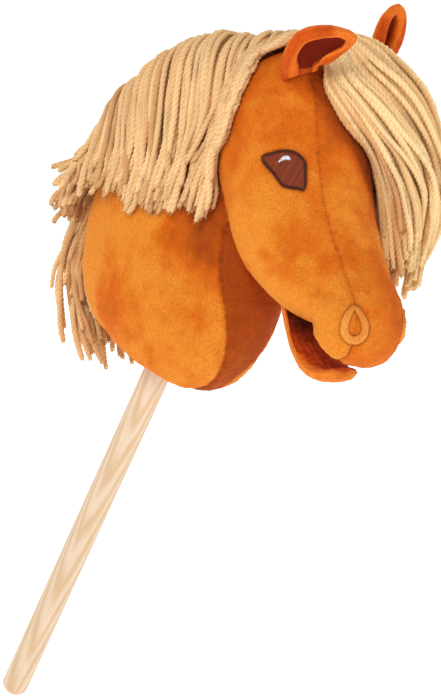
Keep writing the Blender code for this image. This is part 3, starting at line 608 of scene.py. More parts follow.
# %% Find the place of each point on its form
class Chart:
    """A fine grid over a form that tells the station and angle nearest to a point."""

    def __init__(self, form, rows=160, columns=180):
        self.form, self.rows, self.columns = form, rows, columns
        points = np.array(form_rings(form, rows, columns)).reshape(-1, 3)
        faces = ring_faces(rows, columns)
        self.points = points
        self.tree = BVHTree.FromPolygons([tuple(p) for p in points], faces)

    def locate(self, places):
        """Station, angle and distance for each place."""
        found = np.empty((len(places), 3))
        for index, place in enumerate(places):
            spot, _, face, distance = self.tree.find_nearest(Vector(place))
            i, j = divmod(face, self.columns)
            a = self.points[face]
            along = self.points[face + self.columns] - a
            around = self.points[i * self.columns + (j + 1) % self.columns] - a
            step = np.array(spot) - a
            up = step @ along / max(along @ along, 1e-12)
            side = step @ around / max(around @ around, 1e-12)
            found[index] = (i + min(max(up, 0), 1)), (j + min(max(side, 0), 1)), distance
        found[:, 0] *= self.form.last / (self.rows - 1)
        found[:, 1] *= 2 * math.pi / self.columns
        found[:, 1] = (found[:, 1] + math.pi) % (2 * math.pi) - math.pi
        return found


neck_chart, head_chart = Chart(neck_form), Chart(head_form)
print("charts of", len(neck_chart.points), "points")

# %% [markdown]
# ## Seams
# The panels meet along seams: two run down the face beside its strip, two run up the throat,
# one follows the crest, one the chin, and one closes the underside. They are drawn as lines
# of stations and angles. Each later pulls the skin in a little and carries its stitches.

# %% Draw the seams
FACE_STRIP = 0.070
THROAT_STRIP = 0.088
FACE_STRIP_FROM = 2.6


def face_strip_angle(station):
    """Where the strip of the face ends, which narrows to both ends."""
    narrow = rise(station, 4.2, 7.0) + 1 - rise(station, 2.2, 3.6) + rise(station, 9.0, 11.0)
    return head_form.angle_at_width(station, FACE_STRIP / 2 * (1 - 0.12 * narrow))


def throat_strip_angle(station):
    """Where the strip of the throat ends, which widens from the foot up."""
    share = 0.26 + 0.74 * rise(station, 2.2, 5.6)
    edge = neck_form.angle_at_width(station, THROAT_STRIP / 2 * share)
    return math.pi - np.minimum(edge, math.radians(52))


def seam_line(form, stations, angles):
    """Points and outward directions along a seam."""
    stations, angles = np.broadcast_arrays(stations, angles)
    return form.point(stations, angles), form.normal(stations, angles)


# %% Lay the seams on the skin
along_face = np.linspace(FACE_STRIP_FROM, 10.9, 130)
along_throat = np.linspace(1.3, 8.4, 130)
seams = {}
for side in (-1, 1):
    seams["face", side] = seam_line(head_form, along_face, side * face_strip_angle(along_face))
    throat_edge = side * throat_strip_angle(along_throat)
    seams["throat", side] = seam_line(neck_form, along_throat, throat_edge)
edge = float(face_strip_angle(FACE_STRIP_FROM))
seams["poll", 0] = seam_line(head_form, FACE_STRIP_FROM, np.linspace(-edge, edge, 50))
seams["poll", 1] = seam_line(head_form, np.linspace(0.3, FACE_STRIP_FROM, 60), 0.0)
seams["chin", 0] = seam_line(head_form, np.linspace(3.6, 10.9, 90), math.pi)
seams["crest", 0] = seam_line(neck_form, np.linspace(1.3, 9.8, 140), 0.0)
seams["foot", 0] = seam_line(neck_form, 1.25, np.linspace(-math.pi, math.pi, 160))
print(len(seams), "seams")


# %% Measure how far each point of the skin is from a seam
def distance_to(lines, places):
    """The distance from each place to the nearest point of some lines."""
    spots = np.vstack(lines)
    tree = KDTree(len(spots))
    for index, spot in enumerate(spots):
        tree.insert(Vector(spot), index)
    tree.balance()
    return np.array([tree.find(Vector(place))[2] for place in places])


def finer(line, parts=4):
    """More points along a line, evenly between its own."""
    t = np.linspace(0, len(line) - 1, (len(line) - 1) * parts + 1)
    low = np.minimum(t.astype(int), len(line) - 2)
    return line[low] + (line[low + 1] - line[low]) * (t - low)[:, None]


seam_points = [finer(line) for line, _ in seams.values()]
# How dark each seam is painted: a dark seam line, with painted shade in its groove.
SEAM_LINE_AND_SHADE = {"face": 0.22, "throat": 1.0, "poll": 0.4, "crest": 0.3, "chin": 0.8, "foot": 0.6}
print("seams measured at", sum(len(p) for p in seam_points), "points")

# %% [markdown]
# ## Stuffing
# Packed filling pushes each panel out between its seams. Cloth simulation does the same: the
# skin is inflated from inside while the points on seams are held. The pressure is light and
# the travel is capped, so the sewn shape stays and only the swell and small puckers come.

# %% Swell the skin with cloth
SWELL_FRAMES = 14
SWELL_PRESSURE = 2.5
SWELL_CAP = 0.0030


def swell(piece, held):
    """Cloth with pressure, held where held is 1, no point moving further than the cap."""
    start = mesh_points(piece)
    group = piece.vertex_groups.new(name="held")
    for level in range(1, 11):
        members = np.nonzero(np.ceil(held * 10) == level)[0]
        group.add(members.tolist(), level / 10, "REPLACE")
    cloth = piece.modifiers.new("Swell", "CLOTH")
    cloth.settings.quality = 4
    cloth.settings.mass = 0.15
    cloth.settings.tension_stiffness = 20
    cloth.settings.compression_stiffness = 8
    cloth.settings.bending_stiffness = 0.6
    cloth.settings.use_pressure = True
    cloth.settings.uniform_pressure_force = SWELL_PRESSURE
    cloth.settings.vertex_group_mass = "held"
    cloth.settings.effector_weights.gravity = 0
    cloth.settings.shrink_min = -0.02
    cloth.point_cache.frame_end = SWELL_FRAMES
    for number in range(1, SWELL_FRAMES + 1):
        bpy.context.scene.frame_set(number)
    apply_modifiers(piece)
    bpy.context.scene.frame_set(1)
    piece.vertex_groups.clear()
    travel = mesh_points(piece) - start
    length = np.linalg.norm(travel, axis=1, keepdims=True)
    shorter = SWELL_CAP * np.tanh(length / SWELL_CAP) / np.maximum(length, 1e-9)
    move_points(piece, start + travel * shorter)
    return length.max()


near_seam = distance_to(seam_points, mesh_points(plush_body))
held = 1 - rise(near_seam, 0.002, 0.006)
print("largest travel", round(float(swell(plush_body, held)), 4))

# %% [markdown]
# ## Seam grooves and creases
# One subdivision gives a fine skin. Each point then sinks towards a seam that is close, and
# the pull wavers along the seam, because the stitches gather the cloth. The pile gives the
# outline a slight roughness, made with smooth noise that depends only on place.

# %% Sink the seams into the skin
fine = plush_body.modifiers.new("Finer", "SUBSURF")
fine.levels = fine.render_levels = 1
apply_modifiers(plush_body)


def soft_noise(places, scale, seed):
    """Smooth noise of about -1 to 1, from a few waves in fixed random directions."""
    source = np.random.RandomState(seed)
    total = np.zeros(len(places))
    for _ in range(9):
        direction = source.normal(size=3)
        direction *= scale * source.uniform(0.6, 1.5) / np.linalg.norm(direction)
        total += np.sin(places @ direction + source.uniform(0, 2 * math.pi))
    return total / 3


GROOVE_DEPTH = 0.0019
GROOVE_WIDTH = 0.0026
JOIN_DEPTH = 0.0022
JOIN_WIDTH = 0.0045
RIPPLE_DEPTH = 0.00035
RIPPLE_REACH = 0.012
PILE_DEPTH = 0.00022
LUMP_DEPTH = 0.0005
skin_points, skin_normals = mesh_points(plush_body), mesh_normals(plush_body)
near_seam = distance_to(seam_points, skin_points)
on_neck, on_head = neck_chart.locate(skin_points), head_chart.locate(skin_points)
gather = 1 + 0.35 * soft_noise(skin_points, 900, 3)
sink = GROOVE_DEPTH * np.exp(-((near_seam / GROOVE_WIDTH) ** 2)) * gather
joined = np.exp(-(((on_neck[:, 2] + on_head[:, 2]) / JOIN_WIDTH) ** 2))
sink += JOIN_DEPTH * joined * gather
ripple = np.exp(-near_seam / RIPPLE_REACH) * RIPPLE_DEPTH * soft_noise(skin_points, 420, 5)
pile = PILE_DEPTH * soft_noise(skin_points, 1500, 8) + LUMP_DEPTH * soft_noise(skin_points, 110, 9)
move_points(plush_body, skin_points + skin_normals * (ripple + pile - sink)[:, None])
print("skin of", len(plush_body.data.polygons), "fine faces")


def skin_surface():
    """The skin as it is now, for rays and nearest points."""
    points = [tuple(p) for p in mesh_points(plush_body)]
    return BVHTree.FromPolygons(points, [tuple(face.vertices) for face in plush_body.data.polygons])


body_surface = skin_surface()

# %% [markdown]
# The head has a few soft dents where its cloth is fuller than its filling. The pile also has
# a direction: it is stroked down on the side panels, and lies the other way on the throat and
# on the strip of the face, so those look darker. It is written on the skin's points together
# with painted light and shade: a painted highlight on the back of the neck and the lower cheek,
# and painted shade on the throat under the head, beside the forelock and along the dents.

# %% Dent the cheek
FORELOCK_EDGES = (
    (1.45, -10, 1.45, 12, 13),
    (2.35, -14, 2.30, 12, 20),
    (2.90, -21, 2.90, 22, 26),
    (3.40, -13, 3.30, 52, 34),
    (3.90, 1, 3.70, 72, 42),
    (4.40, 16, 4.20, 87, 50),
    (4.85, 33, 4.75, 95, 52),
    (5.35, 47, 5.30, 99, 50),
    (5.95, 58, 5.80, 102, 46),
    (7.30, 69, 6.60, 103, 36),
)
UPPER_LIP = 0.0050
CREASE_SHADE_WIDTH = 0.0032
DEEP_FOLD = 0.0028
DENTS = (
    ((4.55, -112), (4.85, -104), (5.15, -99), DEEP_FOLD, 0.0038),
    ((5.05, -116), (5.30, -109), (5.50, -104), 0.0012, 0.0040),
    ((7.05, -82), (7.35, -70), (7.60, -60), 0.0021, 0.0042),
    ((6.45, -96), (6.70, -86), (6.90, -80), 0.0012, 0.0050),
    ((9.15, -72), (9.35, -62), (9.50, -50), 0.0010, 0.0040),
)
# Besides the dents, a mask along each dent for painted shade in the crease.
dents, crease_shade = np.zeros(len(skin_points)), np.zeros(len(skin_points))
for first, middle, last, depth, width in DENTS:
    t = np.linspace(0, 2, 30)
    station, degrees = smooth_curve((first, middle, last), t).T
    for mirror in (-1, 1):
        line = head_form.point(station, mirror * np.radians(degrees))
        away = distance_to([line], skin_points)
        dents += depth * np.exp(-((away / width) ** 2)) * (1 if mirror < 0 else 0.6)
        crease_shade += np.exp(-((away / CREASE_SHADE_WIDTH) ** 2)) * depth / DEEP_FOLD
normals = mesh_normals(plush_body)
towards_lip = rise(on_head[:, 0], head_form.last - 2.2, head_form.last)
reach = np.where(on_head[:, 2] < on_neck[:, 2], towards_lip, 0)
lip_move = -into_head * UPPER_LIP * reach[:, None]
move_points(plush_body, mesh_points(plush_body) - normals * dents[:, None] + lip_move)
body_surface = skin_surface()
print("deepest dent", round(float(dents.max()), 4))

# %% Mark the nap, with painted light and shade
neck_station, neck_turn = on_neck[:, 0], np.abs(on_neck[:, 1])
head_station, head_turn = on_head[:, 0], np.abs(on_head[:, 1])
is_neck = on_neck[:, 2] < on_head[:, 2]
# The throat strip is darker: partly its pile, which lies the other way, partly painted shade under the
# head.
in_throat = rise(neck_turn - throat_strip_angle(neck_station), -0.03, 0.03)
in_throat = in_throat * rise(neck_station, 1.1, 1.5)
# Painted highlight on the back of the neck.
behind = 1 - rise(neck_turn, 0.7, 1.5)
neck_nap_and_shade = 0.15 - 2.5 * in_throat - 0.9 * rise(neck_station, 5.0, 8.0) + 1.8 * behind
# Painted shade on the neck's throat side just under the head.
shade = rise(neck_station, 4.4, 5.6) * rise(neck_turn, 1.5, 2.0) * (1 - 0.6 * in_throat)
neck_nap_and_shade -= 2.0 * shade
in_strip = rise(face_strip_angle(head_station) - head_turn, -0.03, 0.03)
# Painted highlight on the lower cheek.
lit_low_cheek = rise(head_turn, 1.2, 2.2) * (1 - rise(head_station, 6.5, 9.0))
crown_side = 1 - rise(head_station, 2.4, 4.6)
strip_nap = in_strip * (0.12 + 0.7 * rise(head_station, 7.2, 9.0))
head_nap_and_shade = 0.20 - strip_nap - 0.75 * crown_side + 0.45 * lit_low_cheek
# Painted shadow of the forelock along its near edge on the face, and painted shade along the dents.
near, near_angle = smooth_curve(FORELOCK_EDGES, np.linspace(0, 9, 60)).T[:2]
beside = distance_to([head_form.point(near, np.radians(near_angle))], skin_points)
forelock_shadow = np.exp(-((beside / 0.012) ** 2)) * (1 - rise(head_station, 5.0, 7.0))
head_nap_and_shade -= 2.8 * forelock_shadow + 0.45 * crease_shade
nap_and_shade = np.where(is_neck, neck_nap_and_shade, head_nap_and_shade) + 0.22 * soft_noise(skin_points, 60, 31)
print("nap from", round(float(nap_and_shade.min()), 2), "to", round(float(nap_and_shade.max()), 2))

# %% [markdown]
# ## Small sewn pieces on the head
# Eyes and nostrils are flat pieces sewn to the skin. Their outlines are drawn forward and up
# from a middle, and each point is dropped onto the stuffed skin from outside, so the pieces
# follow its curve. They are made for the right side and mirrored for the left.


# %% Drop outlines onto the skin
class Patch:
    """A place on the head that outlines are laid on."""

    def __init__(self, station, angle):
        self.middle = head_form.point(station, -angle)
        self.out = head_form.normal(station, -angle)
        upright = np.array((0, 0, 1.0)) - self.out * self.out[2]
        self.up = upright / np.linalg.norm(upright)
        self.forward = np.cross(self.up, self.out)

    def at(self, forward, up, lift):
        """The point of the skin at this place of the outline, lifted off it."""
        start = self.middle + self.forward * forward + self.up * up + self.out * 0.05
        hit = body_surface.ray_cast(Vector(start), Vector(-self.out))[0]
        return np.array(hit) + self.out * lift


def outline_through(corners, count):
    """A closed smooth outline of evenly spaced points through given ones."""
    keys = np.array(corners[-2:] + corners + corners[:3], float) * PATTERN
    t = 2 + np.arange(count * 8) / (count * 8) * len(corners)
    dense = smooth_curve(keys, t)
    step = np.linalg.norm(np.roll(dense, -1, 0) - dense, axis=1)
    reach = np.concatenate([[0], np.cumsum(step)])
    wanted = np.linspace(0, reach[-1], count, endpoint=False)
    dense = np.vstack([dense, dense[:1]])
    return np.stack([np.interp(wanted, reach, dense[:, k]) for k in (0, 1)], 1)


def grown(outline, by):
    """The outline moved outwards by a fixed distance."""
    along = np.roll(outline, -1, 0) - np.roll(outline, 1, 0)
    along /= np.linalg.norm(along, axis=1, keepdims=True)
    x, y = outline[:, 0], outline[:, 1]
    area = (x * np.roll(y, -1) - np.roll(x, -1) * y).sum()
    return outline + np.stack([along[:, 1], -along[:, 0]], 1) * by * np.sign(area)


# %% Outlines of the eye and the nostril
EYE_PLACE = (3.83, math.radians(65))
NOSTRIL_PLACE = (8.62, math.radians(51))
NOSTRIL_TILT = math.radians(25)
NOSTRIL_DROP = (0.0205, 0.0140, 1.30, 0.0018)
NOSTRIL_REACH = (0.0318, 0.0262, 0.45, 0.0)
EYE_CORNERS = [
    (-21, -2), (-15, 6.5), (-7, 12.8), (2, 15), (11, 12.5),
    (16.5, 4), (21.5, -7.5), (15, -10.8), (5, -13.5), (-7, -8.5),
]


def drop(length, width, point, raised, count=72):
    """A drop outline with its point up, tilted back."""
    turn = 2 * math.pi * (np.arange(count) + 0.5) / count
    up = length / 2 * np.cos(turn) + raised
    side = width / 2 * np.sin(turn) * np.abs(np.sin(turn / 2)) ** point
    c, s = math.cos(NOSTRIL_TILT), math.sin(NOSTRIL_TILT)
    return np.stack([side * c - up * s, side * s + up * c], 1)


def both_sides(paths):
    """The paths and their mirror images."""
    return paths + [path * np.array((-1, 1, 1)) for path in paths]


def press(lines, depth, width):
    """Sinks the skin near some lines on both sides, and says how near each point is."""
    places = mesh_points(plush_body)
    near = np.exp(-((distance_to(both_sides(lines), places) / width) ** 2))
    move_points(plush_body, places - mesh_normals(plush_body) * (depth * near)[:, None])
    return near


# %% Press the sewn pieces into the skin
eye, nostril = Patch(*EYE_PLACE), Patch(*NOSTRIL_PLACE)
eye_outline = outline_through(EYE_CORNERS, 80)
inner_drop, outer_drop = drop(*NOSTRIL_DROP), drop(*NOSTRIL_REACH)
eye_line = np.array([eye.at(u, v, 0) for u, v in grown(eye_outline, 0.0003)])
nostril_line = np.array([nostril.at(u, v, 0) for u, v in grown(outer_drop, 0.0002)])
# Darkening near the seams, round the eye and the nostril and in the crease where the cheek meets the
# neck: partly a dark seam line, partly painted shade in the grooves.
seam_line_and_shade = np.zeros(len(skin_points))
for (kind, _), line in zip(seams, seam_points):
    shade = np.exp(-((distance_to([line], skin_points) / 0.0012) ** 2)) * SEAM_LINE_AND_SHADE[kind]
    seam_line_and_shade = np.maximum(seam_line_and_shade, shade * (1 + 0.3 * soft_noise(skin_points, 700, 44)))
seam_line_and_shade = np.maximum(seam_line_and_shade, 0.35 * press([nostril_line], 0.0014, 0.0016))
seam_line_and_shade = np.maximum(seam_line_and_shade, 0.6 * press([eye_line], 0.0007, 0.0014))
# Painted shade in the crease where the cheek is sewn over the neck.
seam_line_and_shade = np.maximum(seam_line_and_shade, 0.55 * joined)
mark_points(plush_body, "nap_and_shade", nap_and_shade)
mark_points(plush_body, "seam", np.clip(seam_line_and_shade, 0, 1))
body_surface = skin_surface()
print("nostril line", len(nostril_line), "points")

# %% Hang the skin on the frame
STUFFED_NODES = (
    "neck_base", "neck_side_right", "neck_side_left", "throat_gusset", "neck_stuffing",
    "head_side_right", "head_side_left", "face_gusset", "head_stuffing",
)
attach(plush_body, ROOT)
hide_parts(*STUFFED_NODES)
print("plush body done")

# %% [markdown]
# ## Yarn
# The mane is plied wool: three thin plies twisted into one strand about five millimetres
# thick. A strand is a long path swept with a three-lobed outline that turns as it goes. It
# repeats hundreds of times and follows a path, so Geometry Nodes make it: the tree takes
# paths as plain edges, resamples them, twists them and sweeps the outline along them.


# %% The yarn tree
def group_with(name, sockets):
    """A geometry node group with named inputs."""
    tree = bpy.data.node_groups.new(name, "GeometryNodeTree")
    tree.interface.new_socket("Geometry", in_out="INPUT", socket_type="NodeSocketGeometry")
    tree.interface.new_socket("Geometry", in_out="OUTPUT", socket_type="NodeSocketGeometry")
    for label, kind in sockets:
        tree.interface.new_socket(label, in_out="INPUT", socket_type="NodeSocket" + kind)
    return tree


class Tree:
    """Short ways to add and wire geometry nodes."""

    def __init__(self, name, sockets):
        self.tree = group_with(name, sockets)
        self.given = self.tree.nodes.new("NodeGroupInput").outputs

    def node(self, kind, settings=None, inputs=None):
        """Any node, as its outputs."""
        made = self.tree.nodes.new(kind)
        for name, value in (settings or {}).items():
            setattr(made, name, value)
        for name, value in (inputs or {}).items():
            if isinstance(value, bpy.types.NodeSocket):
                self.tree.links.new(value, made.inputs[name])
            else:
                made.inputs[name].default_value = value
        return made.outputs

    def maths(self, operation, first, second=0.0):
        """A Math node on two values."""
        return self.node("ShaderNodeMath", {"operation": operation}, {0: first, 1: second})[0]

    def value(self, label, kind="FLOAT"):
        """What the paths carry on their points under a label."""
        return self.node("GeometryNodeInputNamedAttribute", {"data_type": kind}, {"Name": label})[0]

    def finish(self, geometry, material):
        """Real, smooth geometry with its material ends the tree."""
        real = self.node("GeometryNodeRealizeInstances", {}, {0: geometry})[0]
        smooth = self.node("GeometryNodeSetShadeSmooth", {}, {0: real})[0]
        done = self.node("GeometryNodeSetMaterial", {}, {0: smooth, "Material": material})[0]
        self.tree.links.new(done, self.tree.nodes.new("NodeGroupOutput").inputs[0])
        return self.tree


# %% Sweep yarn along paths
def yarn_tree():
    """Sweeps a lobed, twisted outline along every path."""
    t = Tree("Plied yarn", (
        ("Yarn radius", "Float"), ("Twist length", "Float"), ("Ring spacing", "Float"),
        ("Lobe depth", "Float"), ("Plies", "Int"), ("Outline points", "Int"),
        ("Finish", "Material"),
    ))
    paths = t.node("GeometryNodeMeshToCurve", {}, {0: t.given["Geometry"]})[0]
    inputs = {"Curve": paths, "Length": t.given["Ring spacing"]}
    spaced = t.node("GeometryNodeResampleCurve", {"mode": "LENGTH"}, inputs)
    reach = t.node("GeometryNodeSplineParameter")["Length"]
    turns = t.maths("DIVIDE", reach, t.given["Twist length"])
    offset = t.value("start_turn")
    tilt = t.maths("MULTIPLY", t.maths("ADD", turns, offset), 2 * math.pi)
    twisted = t.node("GeometryNodeSetCurveTilt", {}, {"Curve": spaced[0], "Tilt": tilt})[0]
    radius = t.maths("MULTIPLY", t.value("thickness"), t.given["Yarn radius"])
    inputs = {"Resolution": t.given["Outline points"], "Radius": 1.0}
    ring = t.node("GeometryNodeCurvePrimitiveCircle", {}, inputs)[0]
    place = t.node("GeometryNodeInputPosition")[0]
    apart = t.node("ShaderNodeSeparateXYZ", {}, {0: place})
    angle = t.maths("ARCTAN2", apart["Y"], apart["X"])
    wave = t.maths("COSINE", t.maths("MULTIPLY", angle, t.given["Plies"]))
    lobes = t.maths("ADD", t.maths("MULTIPLY", wave, t.given["Lobe depth"]), 1.0)
    scaled = t.node("ShaderNodeVectorMath", {"operation": "SCALE"}, {0: place, "Scale": lobes})[0]
    outline = t.node("GeometryNodeSetPosition", {}, {0: ring, "Position": scaled})[0]
    height = t.maths("ADD", t.maths("MULTIPLY", wave, 0.5), 0.5)
    inputs = {0: outline, "Name": "ply", "Value": height}
    outline = t.node("GeometryNodeStoreNamedAttribute", {"data_type": "FLOAT"}, inputs)[0]
    inputs = {"Curve": twisted, "Profile Curve": outline, "Scale": radius, "Fill Caps": True}
    return t.finish(t.node("GeometryNodeCurveToMesh", {}, inputs)[0], t.given["Finish"])


YARN_TREE = yarn_tree()


# %% Turn paths into yarn or thread
def set_inputs(modifier, values):
    """Sets a node modifier's inputs by their labels."""
    for item in modifier.node_group.interface.items_tree:
        if item.in_out == "INPUT" and item.name in values:
            modifier[item.identifier] = values[item.name]


def paths_piece(name, paths, attributes):
    """An object of plain edges, one line for each path, with values on its points."""
    points = np.vstack(paths)
    edges, at = [], 0
    for path in paths:
        edges += [(at + k, at + k + 1) for k in range(len(path) - 1)]
        at += len(path)
    mesh = bpy.data.meshes.new(name)
    mesh.from_pydata([tuple(p) for p in points], edges, [])
    piece = bpy.data.objects.new(name, mesh)
    bpy.context.scene.collection.objects.link(piece)
    for label, values in attributes.items():
        mark_points(piece, label, np.concatenate(values))
    return piece


def grow_tree(piece, tree, values):
    """Runs a tree on a piece and leaves a plain mesh."""
    made = piece.modifiers.new("Tree", "NODES")
    made.node_group = tree
    set_inputs(made, values)
    apply_modifiers(piece)


def spin(name, paths, attributes, finish, radius, spacing, twist=0.0145, lobes=0.12, plies=3, points=9):
    """Yarn or thread along paths, as one plain mesh."""
    piece = paths_piece(name, paths, attributes)
    grow_tree(piece, YARN_TREE, {
        "Yarn radius": radius, "Twist length": twist, "Ring spacing": spacing,
        "Lobe depth": lobes, "Plies": plies, "Outline points": points, "Finish": finish,
    })
    return piece


print("yarn tree has", len(YARN_TREE.nodes), "nodes")

# %% [markdown]
# Wool yarn is soft and a little hairy. Its colour differs from strand to strand, and painted
# shade darkens the inner layers and the valleys between the plies. A fine bump along the
# strand reads as fibres.


# %% Mix the yarn
def wool(name, pale, deep):
    """Matt yarn with a tone for each strand and painted shade in the valleys between its plies."""
    finish = Finish(name, 0.88, 0.12, (1.0, 0.86, 0.66))
    tone = finish.attribute("tone")
    fibres = finish.noise(2600, 2.0)
    slubs = finish.noise(110, 2.0)
    share = (tone * 0.80 + slubs * 0.20).rise(0.05, 0.80)
    colour = finish.mixed(share, deep, pale)
    shade = finish.mixed(fibres.rise(0.25, 0.55), deep, pale)
    body = finish.mixed(0.25, colour, shade)
    ply_valley_shade = (1.0 - finish.attribute("ply")).rise(0.35, 1.0)
    finish.set("Base Color", finish.mixed(ply_valley_shade * 0.34, body, deep))
    finish.bump(fibres * 0.5 + slubs * 0.5, 0.00035)
    return finish.material


YARN = wool("wool yarn", srgb(248, 208, 152), srgb(184, 118, 58))
print("yarn mixed")

# %% [markdown]
# ## Mane
# Each strand is sewn at the crest and hangs over one side. Guides give, from the poll to the
# low end, where a strand starts, where its end hangs, how thick the layer is and how far it
# stands off the neck. Strands between the guides follow them with small waves of their own,
# and their cut ends are uneven.

# %% Guides of the mane
MANE_RIGHT = (
    (10.3, 5.70, 121, 17, 11, 0),
    (9.1, 5.55, 102, 18, 11, 0),
    (8.2, 5.35, 88, 18, 12, 0),
    (7.3, 5.20, 70, 20, 14, 1),
    (6.5, 4.90, 50, 23, 22, 5),
    (5.7, 4.40, 27, 26, 27, 8),
    (5.0, 4.00, 6, 31, 30, 12),
)
MANE_LEFT = (
    (10.0, 4.40, 120, 17, 11, 0),
    (9.1, 3.70, 104, 18, 12, 0),
    (8.2, 3.00, 88, 18, 14, 2),
    (7.3, 2.40, 70, 20, 18, 6),
    (6.5, 1.90, 50, 24, 24, 14),
    (5.7, 1.60, 28, 31, 26, 24),
    (5.0, 1.95, 6, 40, 28, 30),
)
YARN_RADIUS = 0.0026
YARN_LIFT = 0.0012
STRAND_POINTS = 26
print(len(MANE_RIGHT), "guides for each side of the mane")


# %% Let a path wander and rest on the skin
def wander(points, out, t, free, sizes, source):
    """A path with waves of its own across its layer, and half as much out of it."""
    forward = np.gradient(points, axis=0)
    forward /= np.linalg.norm(forward, axis=1, keepdims=True)
    sideways = np.cross(forward, out)
    for direction, gain in ((sideways, 1.0), (out, 0.5)):
        waves = sum(
            source.normal() * size * np.sin(2 * math.pi * (t * turns + source.uniform()))
            for size, turns in sizes
        )
        points = points + direction * (gain * waves * free)[:, None]
    return points, sideways


def resting(points, clear):
    """The points moved out until they clear the skin."""
    rested = points.copy()
    for k, (point, gap) in enumerate(zip(points, clear)):
        place, normal, _, _ = body_surface.find_nearest(Vector(point), 0.03)
        if place is not None:
            height = (Vector(point) - place).dot(normal)
            rested[k] += np.array(normal) * max(gap - height, 0)
    return rested


# %% One strand of the mane
MANE_WAVES = ((0.0026, 0.7), (0.0017, 1.9), (0.0008, 4.1))
MANE_ARCH = 0.006
MANE_LEAN = 0.0055
SPRAY = 0.011


def mane_strand(guides, side, along, depth_share, end, source, flick=0.0):
    """The path of one strand of the mane."""
    start, low, angle, root, tip, off = smooth_curve(guides, along * (len(guides) - 1))
    t = np.linspace(0, 1, STRAND_POINTS)
    down = t * end
    front = 1 - float(rise(along, 0, 0.4))
    station = start + (low - start) * down ** (1.1 + 0.9 * front)
    turn = angle * (1 - (1 - np.minimum(down, 1)) ** (3.2 + 0.6 * front))
    depth = (root + (tip - root) * rise(down, 0, 0.8)) * PATTERN
    lift = YARN_LIFT + max(off, 0) * PATTERN * rise(down, 0.08, 0.65)
    lift = lift + YARN_RADIUS + (depth - 2 * YARN_RADIUS) * depth_share * rise(down, -0.02, 0.10)
    angles = side * np.radians(turn)
    out = neck_form.normal(station, angles)
    points = neck_form.point(station, angles) + out * lift[:, None]
    arch = MANE_ARCH * depth_share * np.exp(-(((down - 0.13) / 0.13) ** 2)) * rise(down, 0, 0.1)
    points = points + out * arch[:, None]
    free = rise(down, 0.12, 0.9)
    points, sideways = wander(points, out, t, free, MANE_WAVES, source)
    bunch = 0.0040 * math.sin(along * 41 + depth_share * 2) + 0.0026 * math.sin(along * 97 + 1)
    lean = source.normal() * MANE_LEAN * t**2
    points += sideways * ((bunch * (0.5 + 0.5 * t) + lean) * free)[:, None]
    loose = float(rise(along, 0.55, 0.8))
    spray = source.uniform(-0.2, 1.0) * SPRAY * loose * t**3
    points += out * (np.maximum(spray, -0.001) + flick * t**1.6)[:, None]
    hand = 1 if side > 0 else -1
    if hand * points[0, 0] < 0.001:
        points[:, 0] += hand * (0.001 - hand * points[0, 0]) * (1 - rise(t, 0, 0.2))
    return resting(points, YARN_RADIUS + 0.0006 + 0.35 * (lift - YARN_RADIUS - YARN_LIFT))


# %% Spin strands with frayed ends
WISP_RADIUS = 0.0005
WISP_SPREAD = 0.20
WISP_POINTS = 5
WISPS = 4
YARN_SPACING = 0.0022


def strand_values(paths, source, deepness):
    """Tone, thickness and first turn for each strand, on each of its points; inner layers get a darker
    tone as painted shade.
    """
    tones, widths, turns = [], [], []
    for path, deep in zip(paths, deepness):
        # Strands of inner layers are darker: painted shade under the outer layers; the rest of the tone
        # is random.
        tone = np.clip(source.normal(0.66, 0.25), 0.1, 1.1) * (0.30 + 0.70 * deep)
        tones.append(np.full(len(path), tone))
        t = np.linspace(0, 1, len(path))
        uneven = 1 + 0.07 * np.sin(t * source.uniform(9, 24) + source.uniform(0, 6))
        widths.append(source.uniform(0.88, 1.12) * uneven * (1 - 0.14 * rise(t, 0.96, 1.0)))
        turns.append(np.full(len(path), source.uniform()))
    return {"tone": tones, "thickness": widths, "start_turn": turns}


def frayed_ends(paths, values, source):
    """Short thin wisps that spread from the cut end of each strand."""
    made, tones = [], []
    for path, tone in zip(paths, values["tone"]):
        heading = path[-1] - path[-3]
        heading /= np.linalg.norm(heading)
        for _ in range(WISPS):
            spread = source.normal(size=3) * WISP_SPREAD
            spread -= heading * (spread @ heading)
            length = source.uniform(0.0020, 0.0052)
            root = path[-1] - heading * 0.002 + spread * 0.0025
            steps = np.linspace(0, 1, WISP_POINTS)[:, None]
            made.append(root + (heading + spread * steps) * length * steps)
            tones.append(np.full(WISP_POINTS, tone[0] * 0.9))
    thinner = [np.linspace(1.0, 0.45, WISP_POINTS) for _ in made]
    unturned = [np.zeros(WISP_POINTS) for _ in made]
    return made, {"tone": tones, "thickness": thinner, "start_turn": unturned}


def hang_yarn(name, paths, deepness, source, nodes, spacing=YARN_SPACING, finish=YARN):
    """Spins some strands with frayed ends and hangs them on the frame."""
    values = strand_values(paths, source, deepness)
    wisps, wisp_values = frayed_ends(paths, values, source)
    round_wisp = {"spacing": 0.002, "plies": 1, "points": 4, "lobes": 0}
    pieces = [
        spin(name, paths, values, finish, YARN_RADIUS, spacing),
        spin(name + "_fray", wisps, wisp_values, finish, WISP_RADIUS, **round_wisp),
    ]
    for piece in pieces:
        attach(piece, ROOT)
        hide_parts(*nodes)
    print(name, len(paths), "strands,", sum(len(p.data.polygons) for p in pieces), "faces")


# %% Strands of one side of the mane
LAYERS = (1.0, 0.88, 0.70, 0.46, 0.18)
STRANDS_ALONG = 37


def strand_end(along, source):
    """How far down a strand reaches. Those at the low end are cut very unevenly."""
    ragged = float(rise(along, 0.50, 0.75))
    even = source.uniform(0.80, 0.95)
    if source.uniform() < 0.12:
        even += 0.09
    uneven = source.uniform(0.52, 1.03)
    return min(even + (uneven - even) * ragged, 1.05)


